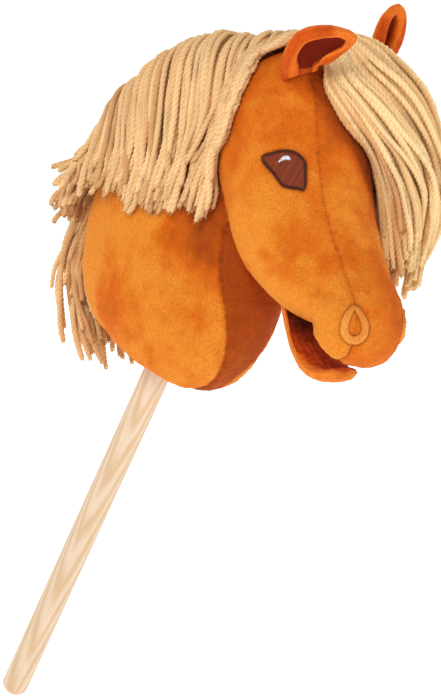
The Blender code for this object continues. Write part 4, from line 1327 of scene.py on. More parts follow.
def mane_side(guides, side, source):
    """The strands that are sewn in layers all along the crest."""
    paths, deepness = [], []
    for layer, share in enumerate(LAYERS):
        for k in range(STRANDS_ALONG):
            if layer == 0 and source.uniform() < 0.36:
                continue
            along = (k + 0.5 * (layer % 2) + source.uniform(-0.45, 0.45)) / (STRANDS_ALONG - 0.5)
            along = min(max(along, 0.0), 1.0)
            depth_share = share * source.uniform(0.84, 1.0)
            end = strand_end(along, source)
            paths.append(mane_strand(guides, side, along, depth_share, end, source))
            deepness.append(share)
    return paths, deepness


# %% Strands at both ends of the mane
FLICK = 0.013


def back_tufts(guides, side, count, source):
    """Loose strands of the low end, which hang down the back of the neck and flick out."""
    paths, deepness = [], []
    for _ in range(count):
        along, share = source.uniform(0.70, 1.0), source.uniform(0.40, 1.15)
        end = source.uniform(0.32, 1.04) - 0.4 * max(share - 0.8, 0)
        flick = source.uniform(0.0, FLICK) * float(rise(end, 0.30, 0.55))
        turned = side * source.uniform(0.15, 1.0)
        paths.append(mane_strand(guides, turned, along, share, end, source, flick))
        deepness.append(min(share, 1.0))
    return paths, deepness


def crown_strands(guides, side, count, source):
    """Strands sewn on the poll just behind the ears, which join the front of the mane."""
    paths, deepness = [], []
    for _ in range(count):
        share = source.uniform(0.3, 1.0)
        along, end = source.uniform(0, 0.07), source.uniform(0.8, 0.97)
        path = mane_strand(guides, side, along, share, end, source)
        station = source.uniform(0.3, 1.65)
        root = head_form.point(station, side * 0.025)
        root = root + head_form.normal(station, side * 0.025) * (YARN_RADIUS + 0.002 * share)
        t = np.linspace(0, 1, len(path))
        path += (root - path[0]) * (1 - rise(t, 0, 0.38))[:, None]
        paths.append(resting(path, YARN_RADIUS + 0.0004 + 0.007 * share * rise(t, 0, 0.12)))
        deepness.append(share)
    return paths, deepness


# %% Hang the mane
CROWN_COUNT = 20
LOOSE_SPACING = 0.0030
INNER_SPACING = 0.0034
MANE_SIDES = (
    ("mane_right", MANE_RIGHT, -1, 11, 22),
    ("mane_left", MANE_LEFT, 1, 23, 150),
)
for name, guides, side, seed, tuft_count in MANE_SIDES:
    source = np.random.RandomState(seed)
    paths, deepness = mane_side(guides, side, source)
    tufts, tufts_deep = back_tufts(guides, side, tuft_count, source)
    crown_paths, crown_deep = crown_strands(guides, side, CROWN_COUNT, source)
    paths, deepness = crown_paths + paths, crown_deep + deepness
    half = CROWN_COUNT + deepness[CROWN_COUNT:].count(LAYERS[0]) + STRANDS_ALONG
    hang_yarn(name + "_loose_yarn", tufts, tufts_deep, source, [name], LOOSE_SPACING)
    hang_yarn(name + "_outer_yarn", paths[:half], deepness[:half], source, [name])
    hang_yarn(name + "_inner_yarn", paths[half:], deepness[half:], source, [name], INNER_SPACING)

# %% [markdown]
# ## Forelock
# The forelock is sewn on the poll between the ears and falls over the far side of the face.
# Its near and far edges are given in stations and angles of the head.

# %% Strands of the forelock
FORELOCK_LAYERS = (1.0, 0.88, 0.74, 0.58, 0.40, 0.22, 0.06)
FORELOCK_ACROSS = 16
FORELOCK_LOOSE = 16
FORELOCK_WAVES = ((0.0030, 0.8), (0.0020, 1.9), (0.0008, 4.0))
FORELOCK_ARCH = 0.012
FORELOCK_LEAN = 0.005


def forelock_strand(across, depth_share, end, source, stand=0.0):
    """The path of one strand of the forelock."""
    t = np.linspace(0, end, STRAND_POINTS)
    near, near_angle, far, far_angle, depth = smooth_curve(FORELOCK_EDGES, t * 9).T
    station = near + (far - near) * across
    angle = np.radians(near_angle + (far_angle - near_angle) * across)
    thin = 1 - 0.45 * float(rise(abs(2 * across - 1), 0.6, 1.0))
    lift = (depth * PATTERN * thin - 2 * YARN_RADIUS) * depth_share * rise(t, -0.03, 0.09)
    lift = YARN_LIFT + YARN_RADIUS + lift
    crest = FORELOCK_ARCH * float(rise(across, 0.35, 0.9)) * depth_share
    lift = lift + crest * rise(t, 0, 0.16) * (1 - rise(t, 0.35, 0.8))
    lift = lift + stand * rise(t, 0, 0.28) * (1 - 0.6 * rise(t, 0.4, 1.0))
    out = head_form.normal(station, angle)
    points = head_form.point(station, angle) + out * lift[:, None]
    free = rise(t, 0.06, 0.6)
    points, sideways = wander(points, out, t, free, FORELOCK_WAVES, source)
    bunch = 0.0030 * np.sin(across * 23 + depth_share * 3 + t * 5)
    lean = source.normal() * FORELOCK_LEAN * t**2
    return points + sideways * ((bunch + lean) * free)[:, None]


# %% Hang the forelock
source = np.random.RandomState(37)
paths, deepness = [], []
for layer, share in enumerate(FORELOCK_LAYERS):
    for k in range(FORELOCK_ACROSS):
        across = (k + 0.5 * (layer % 2) + source.uniform(-0.25, 0.25)) / (FORELOCK_ACROSS - 0.5)
        across = min(max(across, 0.0), 1.0)
        end = source.uniform(0.80, 1.0) - 0.08 * across
        paths.append(forelock_strand(across, share * source.uniform(0.88, 1.0), end, source))
        deepness.append(share)
for _ in range(FORELOCK_LOOSE):
    across, end = source.uniform(0.35, 1.0), source.uniform(0.7, 0.95)
    paths.append(forelock_strand(across, 1.0, end, source, source.uniform(0.003, 0.015)))
    deepness.append(1.0)
# The forelock is the same wool as the mane, mixed paler as painted light.
PAINTED_LIT_YARN = wool("wool yarn with painted light", srgb(255, 222, 166), srgb(202, 140, 76))
for name, layers in (("forelock_outer_yarn", (0.7, 1.1)), ("forelock_inner_yarn", (0, 0.7))):
    chosen = [k for k, share in enumerate(deepness) if layers[0] <= share < layers[1]]
    strands, shares = [paths[k] for k in chosen], [deepness[k] for k in chosen]
    hang_yarn(name, strands, shares, source, ["forelock"], finish=PAINTED_LIT_YARN)

# %% [markdown]
# ## Thread
# Embroidery thread is spun by the same tree as the yarn, much finer and with two plies.


# %% Spin thread
THREAD_SPACING = 0.0012


def thread(name, paths, finish, radius, tones):
    """Embroidery thread along short paths, as one mesh."""
    values = {
        "tone": [np.full(len(p), tone) for p, tone in zip(paths, tones)],
        "thickness": [np.ones(len(p)) for p in paths],
        "start_turn": [np.zeros(len(p)) for p in paths],
    }
    twist = {"twist": 0.004, "lobes": 0.1, "plies": 2, "points": 6}
    return spin(name, paths, values, finish, radius, THREAD_SPACING, **twist)


def thread_finish(name, pale, deep, shine):
    """Glossy thread whose tone differs from stitch to stitch."""
    finish = Finish(name, shine, gloss=0.3)
    tone = finish.attribute("tone")
    lint = finish.noise(3000, 1.0)
    finish.set("Base Color", finish.mixed(tone * 0.8 + lint * 0.2, deep, pale))
    finish.set("Roughness", shine - 0.08 + lint * 0.2)
    finish.bump(lint, 0.0001)
    return finish.material


EYE_THREAD = thread_finish("eye thread", srgb(164, 72, 34), srgb(98, 36, 14), 0.6)
OUTLINE_THREAD = thread_finish("outline thread", srgb(98, 40, 22), srgb(54, 16, 6), 0.45)
GLINT_THREAD = thread_finish("glint thread", srgb(255, 255, 255), srgb(226, 226, 230), 0.4)
SEAM_THREAD = thread_finish("seam thread", srgb(216, 114, 36), srgb(164, 72, 14), 0.55)
print("threads mixed")

# %% [markdown]
# ## Eyes
# Each eye is filled with close upright threads and edged with short stitches laid across its
# outline, which leave a toothed edge. A white crescent of thread is the glint.

# %% Stitch inside and across an outline
def spans(outline, forward):
    """Lowest and highest point of an outline at a place along it."""
    crossings = []
    for a, b in zip(outline, np.roll(outline, -1, 0)):
        if (a[0] - forward) * (b[0] - forward) < 0:
            share = (forward - a[0]) / (b[0] - a[0])
            crossings.append(a[1] + (b[1] - a[1]) * share)
    return (min(crossings), max(crossings)) if len(crossings) > 1 else None


def fill_threads(patch, outline, pitch, lift, dome_by, source):
    """Upright threads side by side inside an outline."""
    paths = []
    for forward in np.arange(outline[:, 0].min() + pitch / 2, outline[:, 0].max(), pitch):
        span = spans(outline, forward)
        if span is None or span[1] - span[0] < 2 * pitch:
            continue
        rows = max(int((span[1] - span[0]) / 0.0028), 3)
        path = []
        for k in range(rows + 1):
            share = k / rows
            up = span[0] + (span[1] - span[0]) * share
            crown = dome_by * math.sin(math.pi * share) ** 0.5 * source.uniform(0.8, 1.15)
            path.append(patch.at(forward, up, lift + crown))
        paths.append(np.array(path))
    return paths


def edge_threads(patch, outline, pitch, low, high, lift, crown, source):
    """Short stitches laid across an outline."""
    paths = []
    length = np.linalg.norm(np.roll(outline, -1, 0) - outline, axis=1).sum()
    inner, outer = grown(outline, low), grown(outline, high)
    for k in range(int(length / pitch)):
        at = k * pitch / length * len(outline)
        i, share = int(at) % len(outline), at % 1
        j = (i + 1) % len(outline)
        a = inner[i] * (1 - share) + inner[j] * share
        b = outer[i] * (1 - share) + outer[j] * share
        b = b + (b - a) * source.uniform(-0.12, 0.12)
        path = []
        for s in (0, 0.25, 0.5, 0.75, 1):
            u, v = a + (b - a) * s
            path.append(patch.at(u, v, lift + crown * math.sin(math.pi * s)))
        paths.append(np.array(path))
    return paths


# %% Fill and edge the eyes
GLINT_UPPER = ((-8.4, 1.4), (-7.0, 7.0), (-3.0, 10.1), (1.6, 9.4))
GLINT_LOWER = ((-7.6, 1.3), (-4.6, 4.4), (-1.9, 6.3), (1.4, 7.4))
GLINT_LIFT = 0.0019
GLINT_RADIUS = 0.0005
EYE_RIM = 0.0018
FILL_PITCH = 0.00066
EDGE_PITCH = 0.00078
THREAD_RADIUS = 0.00042


def sewn_piece(name, paths, finish, source, nodes, radius=THREAD_RADIUS):
    """Thread for both sides of the head, hung on the frame."""
    tones = list(np.clip(source.normal(0.55, 0.2, len(paths)), 0, 1)) * 2
    piece = thread(name, both_sides(paths), finish, radius, tones)
    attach(piece, ROOT)
    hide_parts(*nodes)
    print(name, len(piece.data.polygons), "faces")


source = np.random.RandomState(51)
fill = fill_threads(eye, grown(eye_outline, -0.0008), FILL_PITCH, 0.0005, 0.0006, source)
nodes = ["right_eye_patch", "left_eye_patch"]
sewn_piece("eye_fill", fill, EYE_THREAD, source, nodes)
tooth = edge_threads(eye, eye_outline, EDGE_PITCH, -EYE_RIM, 0.0002, 0.0008, 0.0009, source)
nodes = ["right_eye_outline", "left_eye_outline"]
sewn_piece("eye_edging", tooth, OUTLINE_THREAD, source, nodes)
arcs = np.array([GLINT_UPPER, GLINT_LOWER]) * PATTERN
arcs = arcs.mean((0, 1)) + (arcs - arcs.mean((0, 1))) * (0.74, 0.88)
glint = []
for t in np.linspace(0, 3, 26):
    upper, lower = smooth_curve(arcs[0], t), smooth_curve(arcs[1], t)
    places = [lower + (upper - lower) * s for s in (0, 0.5, 1)]
    glint.append(np.array([eye.at(*place, GLINT_LIFT) for place in places]))
nodes = ["right_eye_glint", "left_eye_glint"]
sewn_piece("eye_glint", glint, GLINT_THREAD, source, nodes, GLINT_RADIUS)

# %% [markdown]
# ## Nostrils
# Each nostril is a padded roll of plush round a drop-shaped patch. The roll is swept along
# the drop, its surface wavers where its fine stitches pinch it, and a stitched line runs
# along both of its edges.

# %% Roll the nostrils
NOSTRIL_HEIGHT = 0.0034
NOSTRIL_PINCHES = 24
NOSTRIL_WALL = 0.0008
ROLL_SIDES = 16
BASTING_PITCH = 0.0021
BASTING_RADIUS = 0.00034


def mirrored_pair(name, points, faces, finish, nodes):
    """A piece for each side of the head."""
    made = []
    for side, label in ((-1, "right_"), (1, "left_")):
        piece = add_piece(label + name, np.array(points) * np.array((-side, 1, 1)), faces, finish)
        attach(piece, ROOT)
        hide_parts(label + nodes)
        made.append(piece)
    return made


roll_points = []
for k, (a, b) in enumerate(zip(inner_drop, outer_drop)):
    pinch = 1 + 0.10 * math.sin(k * 2 * math.pi / len(inner_drop) * NOSTRIL_PINCHES)
    for j in range(ROLL_SIDES):
        turn = 2 * math.pi * j / ROLL_SIDES
        across = 0.5 + 0.5 * math.cos(turn)
        height = NOSTRIL_HEIGHT * pinch * max(math.sin(turn), -0.25)
        roll_points.append(nostril.at(*(a + (b - a) * across), height))
roll_faces = ring_faces(len(inner_drop), ROLL_SIDES)
last = (len(inner_drop) - 1) * ROLL_SIDES
for j in range(ROLL_SIDES):
    k = (j + 1) % ROLL_SIDES
    roll_faces.append((last + j, last + k, k, j))
ROLL_PLUSH = plush("nostril roll plush", srgb(244, 166, 78), srgb(230, 134, 46), srgb(150, 60, 6), 0.0012)
mirrored_pair("nostril_ring", roll_points, roll_faces, ROLL_PLUSH, "nostril_roll")

# %% Line the nostrils and stitch their edges
patch_rings = []
for share in (1.08, 0.8, 0.5, 0.2):
    ring = inner_drop * share
    dip = 0.0006 + 0.0010 * (1 - share)
    patch_rings.append([nostril.at(u, v, dip + 0.0004 * math.sin(u * 2600)) for u, v in ring])
patch_points, patch_faces = capped_rings(patch_rings, nostril.at(0, 0, 0.0016))
for piece in mirrored_pair("nostril_inside", patch_points, patch_faces, PLUSH, "nostril_patch"):
    give_wall(piece, NOSTRIL_WALL, -1)
source = np.random.RandomState(77)
basting = edge_threads(nostril, outer_drop, BASTING_PITCH, -0.0011, 0.0005, 0.0006, 0.0004, source)
basting += edge_threads(nostril, inner_drop, BASTING_PITCH, -0.0004, 0.0011, 0.0010, 0.0008, source)
basting = both_sides(basting)
even_tones = [0.5] * len(basting)
nostril_stitches = thread("nostril_stitches", basting, SEAM_THREAD, BASTING_RADIUS, even_tones)
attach(nostril_stitches, ROOT)
print("nostrils done")

# %% [markdown]
# ## Stitches
# A hand-guided machine leaves small dashes of thread along each seam. One low dash is copied
# by Geometry Nodes along the seams of the face, the lip, the throat and the chin and along
# the base of each ear, turned to the seam's direction and to the skin.


# %% The stitch tree
def stitch_tree():
    """Lays a short dash of thread at even steps along every path."""
    t = Tree("Stitches", (
        ("Pitch", "Float"), ("Stitch length", "Float"), ("Thread width", "Float"),
        ("Finish", "Material"),
    ))
    paths = t.node("GeometryNodeMeshToCurve", {}, {0: t.given["Geometry"]})[0]
    inputs = {"Curve": paths, "Length": t.given["Pitch"]}
    points = t.node("GeometryNodeCurveToPoints", {"mode": "LENGTH"}, inputs)
    out = t.value("out", "FLOAT_VECTOR")
    settings = {"axis": "X", "pivot_axis": "AUTO"}
    along = t.node("FunctionNodeAlignRotationToVector", settings, {"Vector": points["Tangent"]})[0]
    settings = {"axis": "Z", "pivot_axis": "X"}
    facing = t.node("FunctionNodeAlignRotationToVector", settings, {"Rotation": along, "Vector": out})[0]
    dash = t.node("GeometryNodeMeshUVSphere", {}, {"Segments": 6, "Rings": 4, "Radius": 0.5})[0]
    settings = {"data_type": "FLOAT"}
    vary = t.node("FunctionNodeRandomValue", settings, {2: 0.75, 3: 1.15, "Seed": 4})[1]
    length = t.maths("MULTIPLY", t.given["Stitch length"], vary)
    size = t.node("ShaderNodeCombineXYZ", {}, {
        0: length, 1: t.given["Thread width"], 2: t.given["Thread width"],
    })[0]
    inputs = {"Points": points[0], "Instance": dash, "Rotation": facing, "Scale": size}
    placed = t.node("GeometryNodeInstanceOnPoints", {}, inputs)[0]
    return t.finish(placed, t.given["Finish"])


STITCH_TREE = stitch_tree()


# %% Stitch along the seams
def stitch(name, lines, finish, pitch, length, width):
    """Stitches along lines that are dropped onto the skin."""
    dropped, outs = [], []
    for points, directions in lines:
        spots, facing = [], []
        for p, d in zip(points, directions):
            hit = body_surface.ray_cast(Vector(p + d * 0.012), Vector(-d), 0.03)[0]
            if hit is not None and (hit - Vector(p)).length < 0.006:
                spots.append(np.array(hit))
                facing.append(d)
        if len(spots) > 3:
            dropped.append(np.array(spots))
            outs.append(np.array(facing))
    piece = paths_piece(name, dropped, {})
    mark_points(piece, "out", np.vstack(outs))
    values = {"Pitch": pitch, "Stitch length": length, "Thread width": width, "Finish": finish}
    grow_tree(piece, STITCH_TREE, values)
    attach(piece, ROOT)
    print(name, len(piece.data.polygons), "faces")


face_seams = [seams["face", -1], seams["face", 1]]
throat_seams = [seams["throat", -1], seams["throat", 1]]
stitch("face_stitches", face_seams, SEAM_THREAD, 0.0030, 0.0019, 0.0008)
lip_seams = []
for side in (-1, 1):
    points, directions = seams["face", side]
    below = points[:, 2] < nostril_line[:, 2].min() + 0.0005
    lip_seams.append((finer(points[below]), finer(directions[below])))
stitch("lip_stitches", lip_seams, OUTLINE_THREAD, 0.0017, 0.0018, 0.0009)
stitch("throat_stitches", throat_seams, SEAM_THREAD, 0.0030, 0.0024, 0.0009)
stitch("chin_stitches", [seams["chin", 0]], SEAM_THREAD, 0.0036, 0.0026, 0.0009)

# %% [markdown]
# ## Mouth
# The roof of the mouth is a shallow lining sewn inside the upper lip. The lower lip is a thin
# stuffed tongue of cloth, dished inside, with a soft rolled rim. The lining is painted dark
# wine red deep in the mouth, which is painted shade, and turns to warm orange towards the tip
# of the lip, where light reaches.

# %% Mix the mouth lining
def mouth_finish():
    """Painted shade in wine red inside, warm orange where the lip comes forward into the light."""
    finish = Finish("mouth lining", 0.88, 0.10, (1.0, 0.50, 0.25))
    apart = finish.node("ShaderNodeSeparateXYZ", {}, {0: finish.place()}, output=1)
    # Painted light and shade: lighter the further forward the lining lies, darker where the piece marks
    # it deep.
    outward = (apart * -1.0).rise(0.116, 0.162) * (1.0 - 0.8 * finish.attribute("deep"))
    tufts = finish.noise(210, 4.0, roughness=0.65)
    deep = finish.mixed(tufts.rise(0.3, 0.7), srgb(64, 12, 2), srgb(122, 34, 6))
    pale = finish.mixed(tufts.rise(0.3, 0.7), srgb(196, 84, 16), srgb(232, 128, 44))
    red = finish.mixed(tufts.rise(0.3, 0.7), srgb(150, 42, 8), srgb(204, 80, 20))
    body = finish.mixed(outward.rise(0.05, 0.5), deep, red)
    finish.set("Base Color", finish.mixed(outward.rise(0.5, 0.95), body, pale))
    finish.bump(tufts, 0.0005)
    return finish.material


MOUTH = mouth_finish()
LIP_PLUSH = plush("lip plush", srgb(236, 140, 50), srgb(218, 108, 22), srgb(160, 56, 6))
print("mouth mixed")

# %% Line the roof of the mouth
ROOF_WALL = 0.0009
ROOF_INSET = 0.96
ROOF_RINGS = 10
opening = head_rings[-1]
centre = opening.mean(0)
inner_ring = centre + (opening - centre) * ROOF_INSET - into_head * (UPPER_LIP - 0.0018)
roof_rise = into_head * PALATE_RISE
roof, roof_top = dome(inner_ring, roof_middle, -into_head * 0.0011, roof_rise, ROOF_RINGS)
roof_points, roof_faces = capped_rings([inner_ring - into_head * 0.0002] + roof, roof_top)
mouth_roof = add_piece("mouth_roof", roof_points, roof_faces, MOUTH)
# The whole roof is marked deep, so it takes the painted shade.
mark_points(mouth_roof, "deep", np.ones(len(roof_points)))
give_wall(mouth_roof, ROOF_WALL, 0)
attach(mouth_roof, ROOT)
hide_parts("mouth_roof_lining")
print("mouth roof", len(mouth_roof.data.polygons), "faces")

# %% Shape the lower lip
LIP_ROWS, LIP_COLUMNS = 90, 96
LIP_BLUNT = 0.008
LIP_DISH = 0.0030
LIP_RIM = 0.0010
LIP_GROOVE = 0.0010
stations = np.linspace(0, lip_form.last, LIP_ROWS)[:, None] * np.ones(LIP_COLUMNS)
half_turn = np.linspace(-math.pi, math.pi, LIP_COLUMNS, endpoint=False)
along = stations[:, 0]
strip = np.radians(80 - 10 * (1 - rise(along, 0, 2)) - 12 * rise(along, 5.0, 6.0))
angles = np.ones((LIP_ROWS, 1)) * half_turn
share = np.abs(angles) / strip[:, None]
fade = rise(stations, 0, 1.5) * (1 - rise(stations, 4.0, 5.6))
dish = LIP_DISH * np.maximum(1 - share**2, 0) * fade
reach = lip_form.section(stations)[2][..., 0]
from_seam = (np.abs(angles) - strip[:, None]) * reach
ending = 1 - rise(stations, 5.0, 6.0)
rim = LIP_RIM * np.exp(-(((from_seam - 0.0028) / 0.0020) ** 2)) * ending
groove = LIP_GROOVE * np.exp(-((from_seam / 0.0011) ** 2)) * ending
lip_grid = lip_form.point(stations, angles)
lip_grid += lip_form.normal(stations, angles) * (rim - groove - dish)[..., None]

# %% Blunt the tip of the lip and finish it
LIP_PILE = 0.00018
flat = lip_grid.reshape(-1, 3)
ahead = lip_grid[-1].mean(0) - lip_grid[-14].mean(0)
ahead /= np.linalg.norm(ahead)
past = (flat - lip_grid[-1].mean(0)) @ ahead + LIP_BLUNT
short = LIP_BLUNT * 0.55 * (1 - np.exp(-np.maximum(past, 0) / (LIP_BLUNT * 0.55)))
flat = flat - ahead * (np.maximum(past, 0) - short)[:, None]
lip_grid = (flat + LIP_PILE * soft_noise(flat, 1500, 12)[:, None]).reshape(lip_grid.shape)
lip_points, lip_faces = closed_rings(list(lip_grid), lip_grid[0].mean(0), lip_grid[-1].mean(0))
lower_lip = add_piece("lower_lip", lip_points, lip_faces, LIP_PLUSH, MOUTH)
for face in lower_lip.data.polygons:
    row, column = divmod(min(face.vertices), LIP_COLUMNS)
    if row < LIP_ROWS and abs(half_turn[column]) < strip[row]:
        face.material_index = 1
# The middle of the lip's dish is marked deep for painted shade.
deepness = np.maximum(1 - share**2, 0).ravel() * 0.75
mark_points(lower_lip, "deep", np.append(deepness, [0, 0]))
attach(lower_lip, ROOT)
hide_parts("lower_lip_cover", "lower_lip_lining", "lower_lip_stuffing")
print("lower lip", len(lower_lip.data.polygons), "faces")

# %% [markdown]
# ## Ears
# An ear is a leaf of two layers of plush whose edge is turned and stitched into a soft roll.
# It is curled into a cup and sewn to the head along a straight line. The right one is flopped
# forward and the left one stands. Each is a sweep of a closed section along a bent spine.
# When an ear turns about its sewn line the root stays on the head, so it blends between both.

# %% A leaf bent along its spine
EAR_LENGTH = 0.074
EAR_WIDTH = 0.050
EAR_BASE_WIDTH = 0.034
EAR_BEAD = 0.0040
EAR_STATION = 2.36
EAR_ANGLE = math.radians(35)
EAR_BASE_LINE = (0.78, -0.33, 0.53)
EAR_WIDEST = 0.36
EAR_CUP = tuple(math.radians(a) for a in (12, 80, 42))
EAR_POSES = {"right": (20, 69, 36, 54, 0.28), "left": (-23, 46, 41, -10, 0.0)}


def rise1(value, low, high):
    """The smooth rise of a single number."""
    return float(rise(value, low, high))


def ear_width(share):
    """Half the leaf's width at a share of its length."""
    if share < EAR_WIDEST:
        return EAR_BASE_WIDTH / 2 + (EAR_WIDTH - EAR_BASE_WIDTH) / 2 * rise1(share, 0, EAR_WIDEST)
    t = (share - EAR_WIDEST) / (1 - EAR_WIDEST)
    return EAR_WIDTH / 2 * (1 - t**2.2) ** 0.55


def ear_cup(share):
    """How far the leaf curls round its spine, to each side."""
    base, middle, tip = EAR_CUP
    open_up = base + (middle - base) * rise1(share, 0, 0.4)
    return open_up - (middle - tip) * rise1(share, 0.55, 1.0)


# %% A cupped leaf
class Ear:
    """A cupped leaf on one side of the head."""

    def __init__(self, side, pose):
        self.flop, self.curl, self.lean, self.twist = (math.radians(a) for a in pose[:4])
        self.tuck = pose[4]
        seat = head_form.point(EAR_STATION, side * EAR_ANGLE)
        out = head_form.normal(EAR_STATION, side * EAR_ANGLE)
        line = np.array((-side * EAR_BASE_LINE[0], EAR_BASE_LINE[1], EAR_BASE_LINE[2]))
        line = line - out * (line @ out)
        self.axis = line / np.linalg.norm(line)
        upright = np.array((0, 0, 1.0)) - self.axis * self.axis[2]
        self.up = upright / np.linalg.norm(upright)
        self.front = np.cross(self.axis, self.up)
        if self.front[1] > 0:
            self.front = -self.front
        self.origin = seat + out * (EAR_BEAD + 0.0003)

    def frame(self, share):
        """The leaf's upward, sideways and opening directions at a share of its length."""
        turn = self.flop + self.curl * share
        along = self.up * math.cos(turn) + self.front * math.sin(turn)
        ahead = self.front * math.cos(turn) - self.up * math.sin(turn)
        lean = self.lean * rise1(share, -0.2, 0.9)
        up = along * math.cos(lean) + self.axis * math.sin(lean)
        across = self.axis * math.cos(lean) - along * math.sin(lean)
        twist = self.twist * rise1(share, 0.05, 0.6)
        opening = ahead * math.cos(twist) - across * math.sin(twist)
        return up, across * math.cos(twist) + ahead * math.sin(twist), opening

    def spine(self, share, steps=24):
        """The middle of the leaf, as the sum of short steps from its base."""
        total = sum(self.frame(share * (k + 0.5) / steps)[0] for k in range(steps))
        return self.origin + total * EAR_LENGTH * share / steps

    def folded(self, across):
        """A place across the leaf once its inner half is folded under."""
        return across * (1 - self.tuck) if across > 0 else across

    def row(self, share, places):
        """Points of the leaf at one share of its length, from (across, lift) pairs."""
        _, sideways, opening = self.frame(share)
        cup, foot = ear_cup(share), self.spine(share)
        radius = ear_width(share) / cup
        points = []
        for across, lift in places:
            across, reach = self.folded(across), radius - lift
            point = foot + sideways * reach * math.sin(cup * across)
            points.append(point + opening * (radius - reach * math.cos(cup * across)))
        return points


# %% The section of a leaf
EAR_ROLL = 0.0068
EAR_PUFF = 0.0056
EAR_LEAF = 0.0020


def leaf_section(share, slim):
    """Points round a leaf with a rolled edge: (across, lift), how near the roll, its crest."""
    grow, closed = rise1(share, 0, 0.20), rise1(share, 0.80, 0.92)
    thin = 1 - 0.30 * rise1(share, 0.55, 1.0)
    thin *= max(1 - (max(share - 0.90, 0) / 0.10) ** 2, 0.01) ** 0.5
    full = min(EAR_ROLL / ear_width(share), 0.42)
    full += (0.47 - full) * closed

    def half(side, rolled):
        middle, inner = 1 - rolled, 1 - 2 * rolled
        rolls = [middle + rolled * math.sin(a) for a in np.linspace(-math.pi / 2, 1.43, 13)]
        row = []
        for u in list(np.linspace(0, inner, 9)[1:-1]) + rolls:
            roll = max(1 - ((u - middle) / rolled) ** 2, 0) ** 0.5 if u > inner else 0
            roll += (max(1 - u**2, 0) ** 0.5 - roll) * closed
            wall = EAR_BEAD * (1 - grow) + max(EAR_LEAF, EAR_PUFF * roll) * thin * grow
            groove = math.exp(-(((u - inner) / 0.06) ** 2)) * (1 - closed)
            crest = math.exp(-(((u - middle) / (rolled * 0.6)) ** 2)) * (1 - closed) + closed * 0.8
            row.append((side * u, wall, groove, crest))
        return row

    flat = EAR_BEAD * (1 - grow) + max(EAR_LEAF, EAR_PUFF * closed) * thin * grow
    row = half(-1, full)[::-1] + [(0, flat, 0, 0.8 * closed)] + half(1, full * (1 - slim * (1 - closed)))
    return [(u, -wall, g, c) for u, wall, g, c in row] + [(u, w, g, c) for u, w, g, c in reversed(row)]


# %% Sew the ears on
EAR_ROWS = [*np.linspace(0, 0.9, 44), 0.92, 0.94, 0.96, 0.975, 0.986, 0.994, 0.998]
EAR_PILE = 0.00015
ROOT_TURNS = (75, 50, 25)
LINED_COLUMNS = range(53, 69)
LINED_FROM = 3
LINED_TO = 0.86
TUCKED_SLIM = 0.35


def ear_root(ear, section):
    """Rings that round off the base of the leaf."""
    rings = []
    along, _, ahead = ear.frame(0.0)
    for turn in ROOT_TURNS:
        ring = []
        c, s = math.cos(math.radians(turn)), math.sin(math.radians(turn))
        for across, lift, _, _ in section:
            out = ahead * lift * c - along * EAR_BEAD * s
            ring.append(ear.origin + ear.axis * ear.folded(across) * EAR_BASE_WIDTH / 2 + out)
        rings.append(ring)
    return rings


def make_ear(label, side):
    """One ear, blended between the head and its own body."""
    ear = Ear(side, EAR_POSES[label])
    slim = TUCKED_SLIM if ear.tuck else 0.0
    sections = [leaf_section(share, slim) for share in EAR_ROWS]
    rings = ear_root(ear, sections[0])
    rings += [ear.row(share, [p[:2] for p in section]) for share, section in zip(EAR_ROWS, sections)]
    rings = [np.array(ring) for ring in rings]
    points, faces = closed_rings(rings, rings[0].mean(0), rings[-1].mean(0))
    points = np.array(points)
    points = points + EAR_PILE * soft_noise(points, 1500, 17)[:, None]
    piece = add_piece(label + "_ear_plush", points, faces, LEAF_PLUSH, SHADED_EAR_LINING)
    roots = len(ROOT_TURNS)
    lined_rows = range(roots + LINED_FROM, roots + int(np.searchsorted(EAR_ROWS, LINED_TO)))
    # The lining's faces inside the cup take the dark lining plush, which is painted shade.
    for face in piece.data.polygons:
        row, column = divmod(min(face.vertices), len(sections[0]))
        if row in lined_rows and column in LINED_COLUMNS:
            face.material_index = 1
    # The groove inside the rolled edge gets painted shade, and the roll's crest a painted highlight with
    # painted shade to its sides.
    marked = [p[2:] for section in sections[:1] * roots + sections for p in section] + [(0, 0)] * 2
    groove, crest = np.array(marked, np.float32).T
    mark_points(piece, "seam", 0.9 * groove)
    mark_points(piece, "nap_and_shade", 1.7 * crest - 0.9)
    ear.origin - ear.up * 0.003
    ear.origin + ear.up * 0.016
    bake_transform(piece)
    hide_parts(label + "_ear", label + "_ear_lining")
    print(piece.name, len(piece.data.polygons), "faces")
    return ear


# %% Stitch along the base of each ear
bases = []
for label, side in (("right", -1), ("left", 1)):
    line = make_ear(label, side).axis
    out = head_form.normal(EAR_STATION, side * EAR_ANGLE)
    middle = head_form.point(EAR_STATION, side * EAR_ANGLE)
    middle = middle - np.cross(out, line) * side * (EAR_BEAD + 0.0009)
    steps = np.linspace(-1, 1, 40)[:, None] * EAR_BASE_WIDTH * 0.42
    bases.append((middle + line * steps, np.tile(out, (40, 1))))
stitch("ear_stitches", bases, OUTLINE_THREAD, 0.0030, 0.0021, 0.0009)

# %% [markdown]
# ## Stick
# The stick is a plain round beech stick. Beech is pale with short fine flecks and a faint long
# grain. Its lower end is rounded over, and the cut end shows end grain.


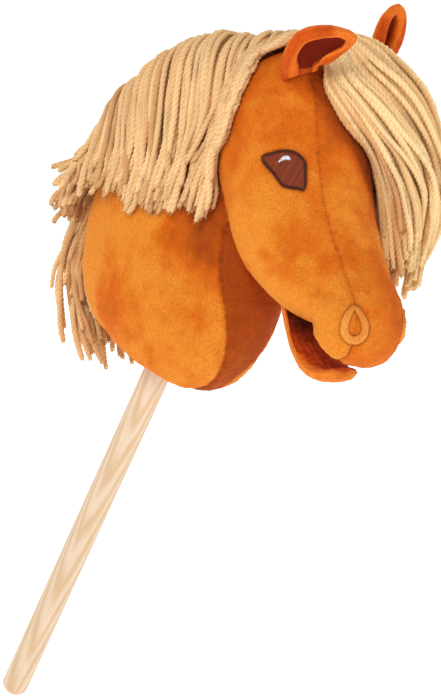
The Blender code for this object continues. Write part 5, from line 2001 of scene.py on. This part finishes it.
# %% Mix the beech
def wood_finish():
    """Growth rings round a leaning pith, with flecks and a long grain."""
    finish = Finish("beech", 0.5, gloss=0.4)
    grain = finish.noise(5.5, 4.0, finish.stretched((14, 14, 1.0)), 0.6)
    flecks = finish.noise(60, 2.0, finish.stretched((16, 16, 1.0)))
    place = {0: finish.place()}
    x, y, z = (finish.node("ShaderNodeSeparateXYZ", {}, place, output=k) for k in range(3))
    pith = z * 0.055 + grain * 0.007 + 0.024
    across, deep = x - pith * 0.8, y - pith * 0.6
    squares = across * across + deep * deep
    away = squares.sum("POWER", squares, 0.5)
    rings = away.sum("SINE", away * 1700.0)
    tone = grain * 0.5 + (rings * 0.5 + 0.5) * 0.5
    base = finish.mixed(tone.rise(0.15, 0.85), srgb(208, 174, 134), srgb(224, 200, 174))
    marked = flecks.rise(0.62, 0.78) * 0.45
    finish.set("Base Color", finish.mixed(marked, base, srgb(196, 152, 108)))
    finish.set("Roughness", 0.46 + 0.14 * grain)
    finish.bump(grain * 0.6 + flecks * 0.4, 0.00012)
    return finish.material


BEECH = wood_finish()
print("beech mixed")

# %% Turn the stick
STICK_IN_NECK = 0.150
STICK_TOP = STICK_LENGTH + STICK_IN_NECK
FOOT_ROUND = 0.008
TOP_ROUND = 0.003
profile = []
for a in np.linspace(0, math.pi / 2, 12):
    inset, height = FOOT_ROUND * math.sin(a), FOOT_ROUND * (1 - math.cos(a))
    profile.append((STICK_RADIUS - FOOT_ROUND + inset, height))
profile += [(STICK_RADIUS, z) for z in np.linspace(0.03, STICK_TOP - 0.004, 40)]
for a in np.linspace(0, math.pi / 2, 5):
    inset, height = TOP_ROUND * math.cos(a), TOP_ROUND * math.sin(a)
    profile.append((STICK_RADIUS - TOP_ROUND + inset, STICK_TOP - TOP_ROUND + height))
turns = np.linspace(0, 2 * math.pi, 96, endpoint=False)
stick_rings = []
for radius, height in profile:
    wobble = 1 + 0.004 * np.sin(2 * turns + height * 9)
    x, y = radius * wobble * np.cos(turns), radius * wobble * np.sin(turns)
    stick_rings.append(np.stack([x, y, turns * 0 + height], 1))
stick_points, stick_faces = closed_rings(stick_rings, (0, 0, 0), (0, 0, STICK_TOP))
beech_stick = add_piece("beech_stick", stick_points, stick_faces, BEECH)
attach(beech_stick, ROOT)
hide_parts("stick")
print("stick", len(stick_faces), "faces")


# %% Finish the hidden sleeve and tape
def board_finish():
    """Grey-brown board for the sleeve inside the filling."""
    finish = Finish("sleeve board", 0.8)
    fibre = finish.noise(400, 3.0, finish.stretched((1, 1, 0.2)))
    finish.set("Base Color", finish.mixed(fibre, srgb(170, 150, 120), srgb(205, 185, 150)))
    finish.bump(fibre, 0.0002)
    return finish.material


for node, finish in (("stick_sleeve", board_finish()), ("mane_tape", YARN)):
    frame["nodes"][node].data.materials.clear()
    frame["nodes"][node].data.materials.append(finish)
print("sleeve and tape finished")
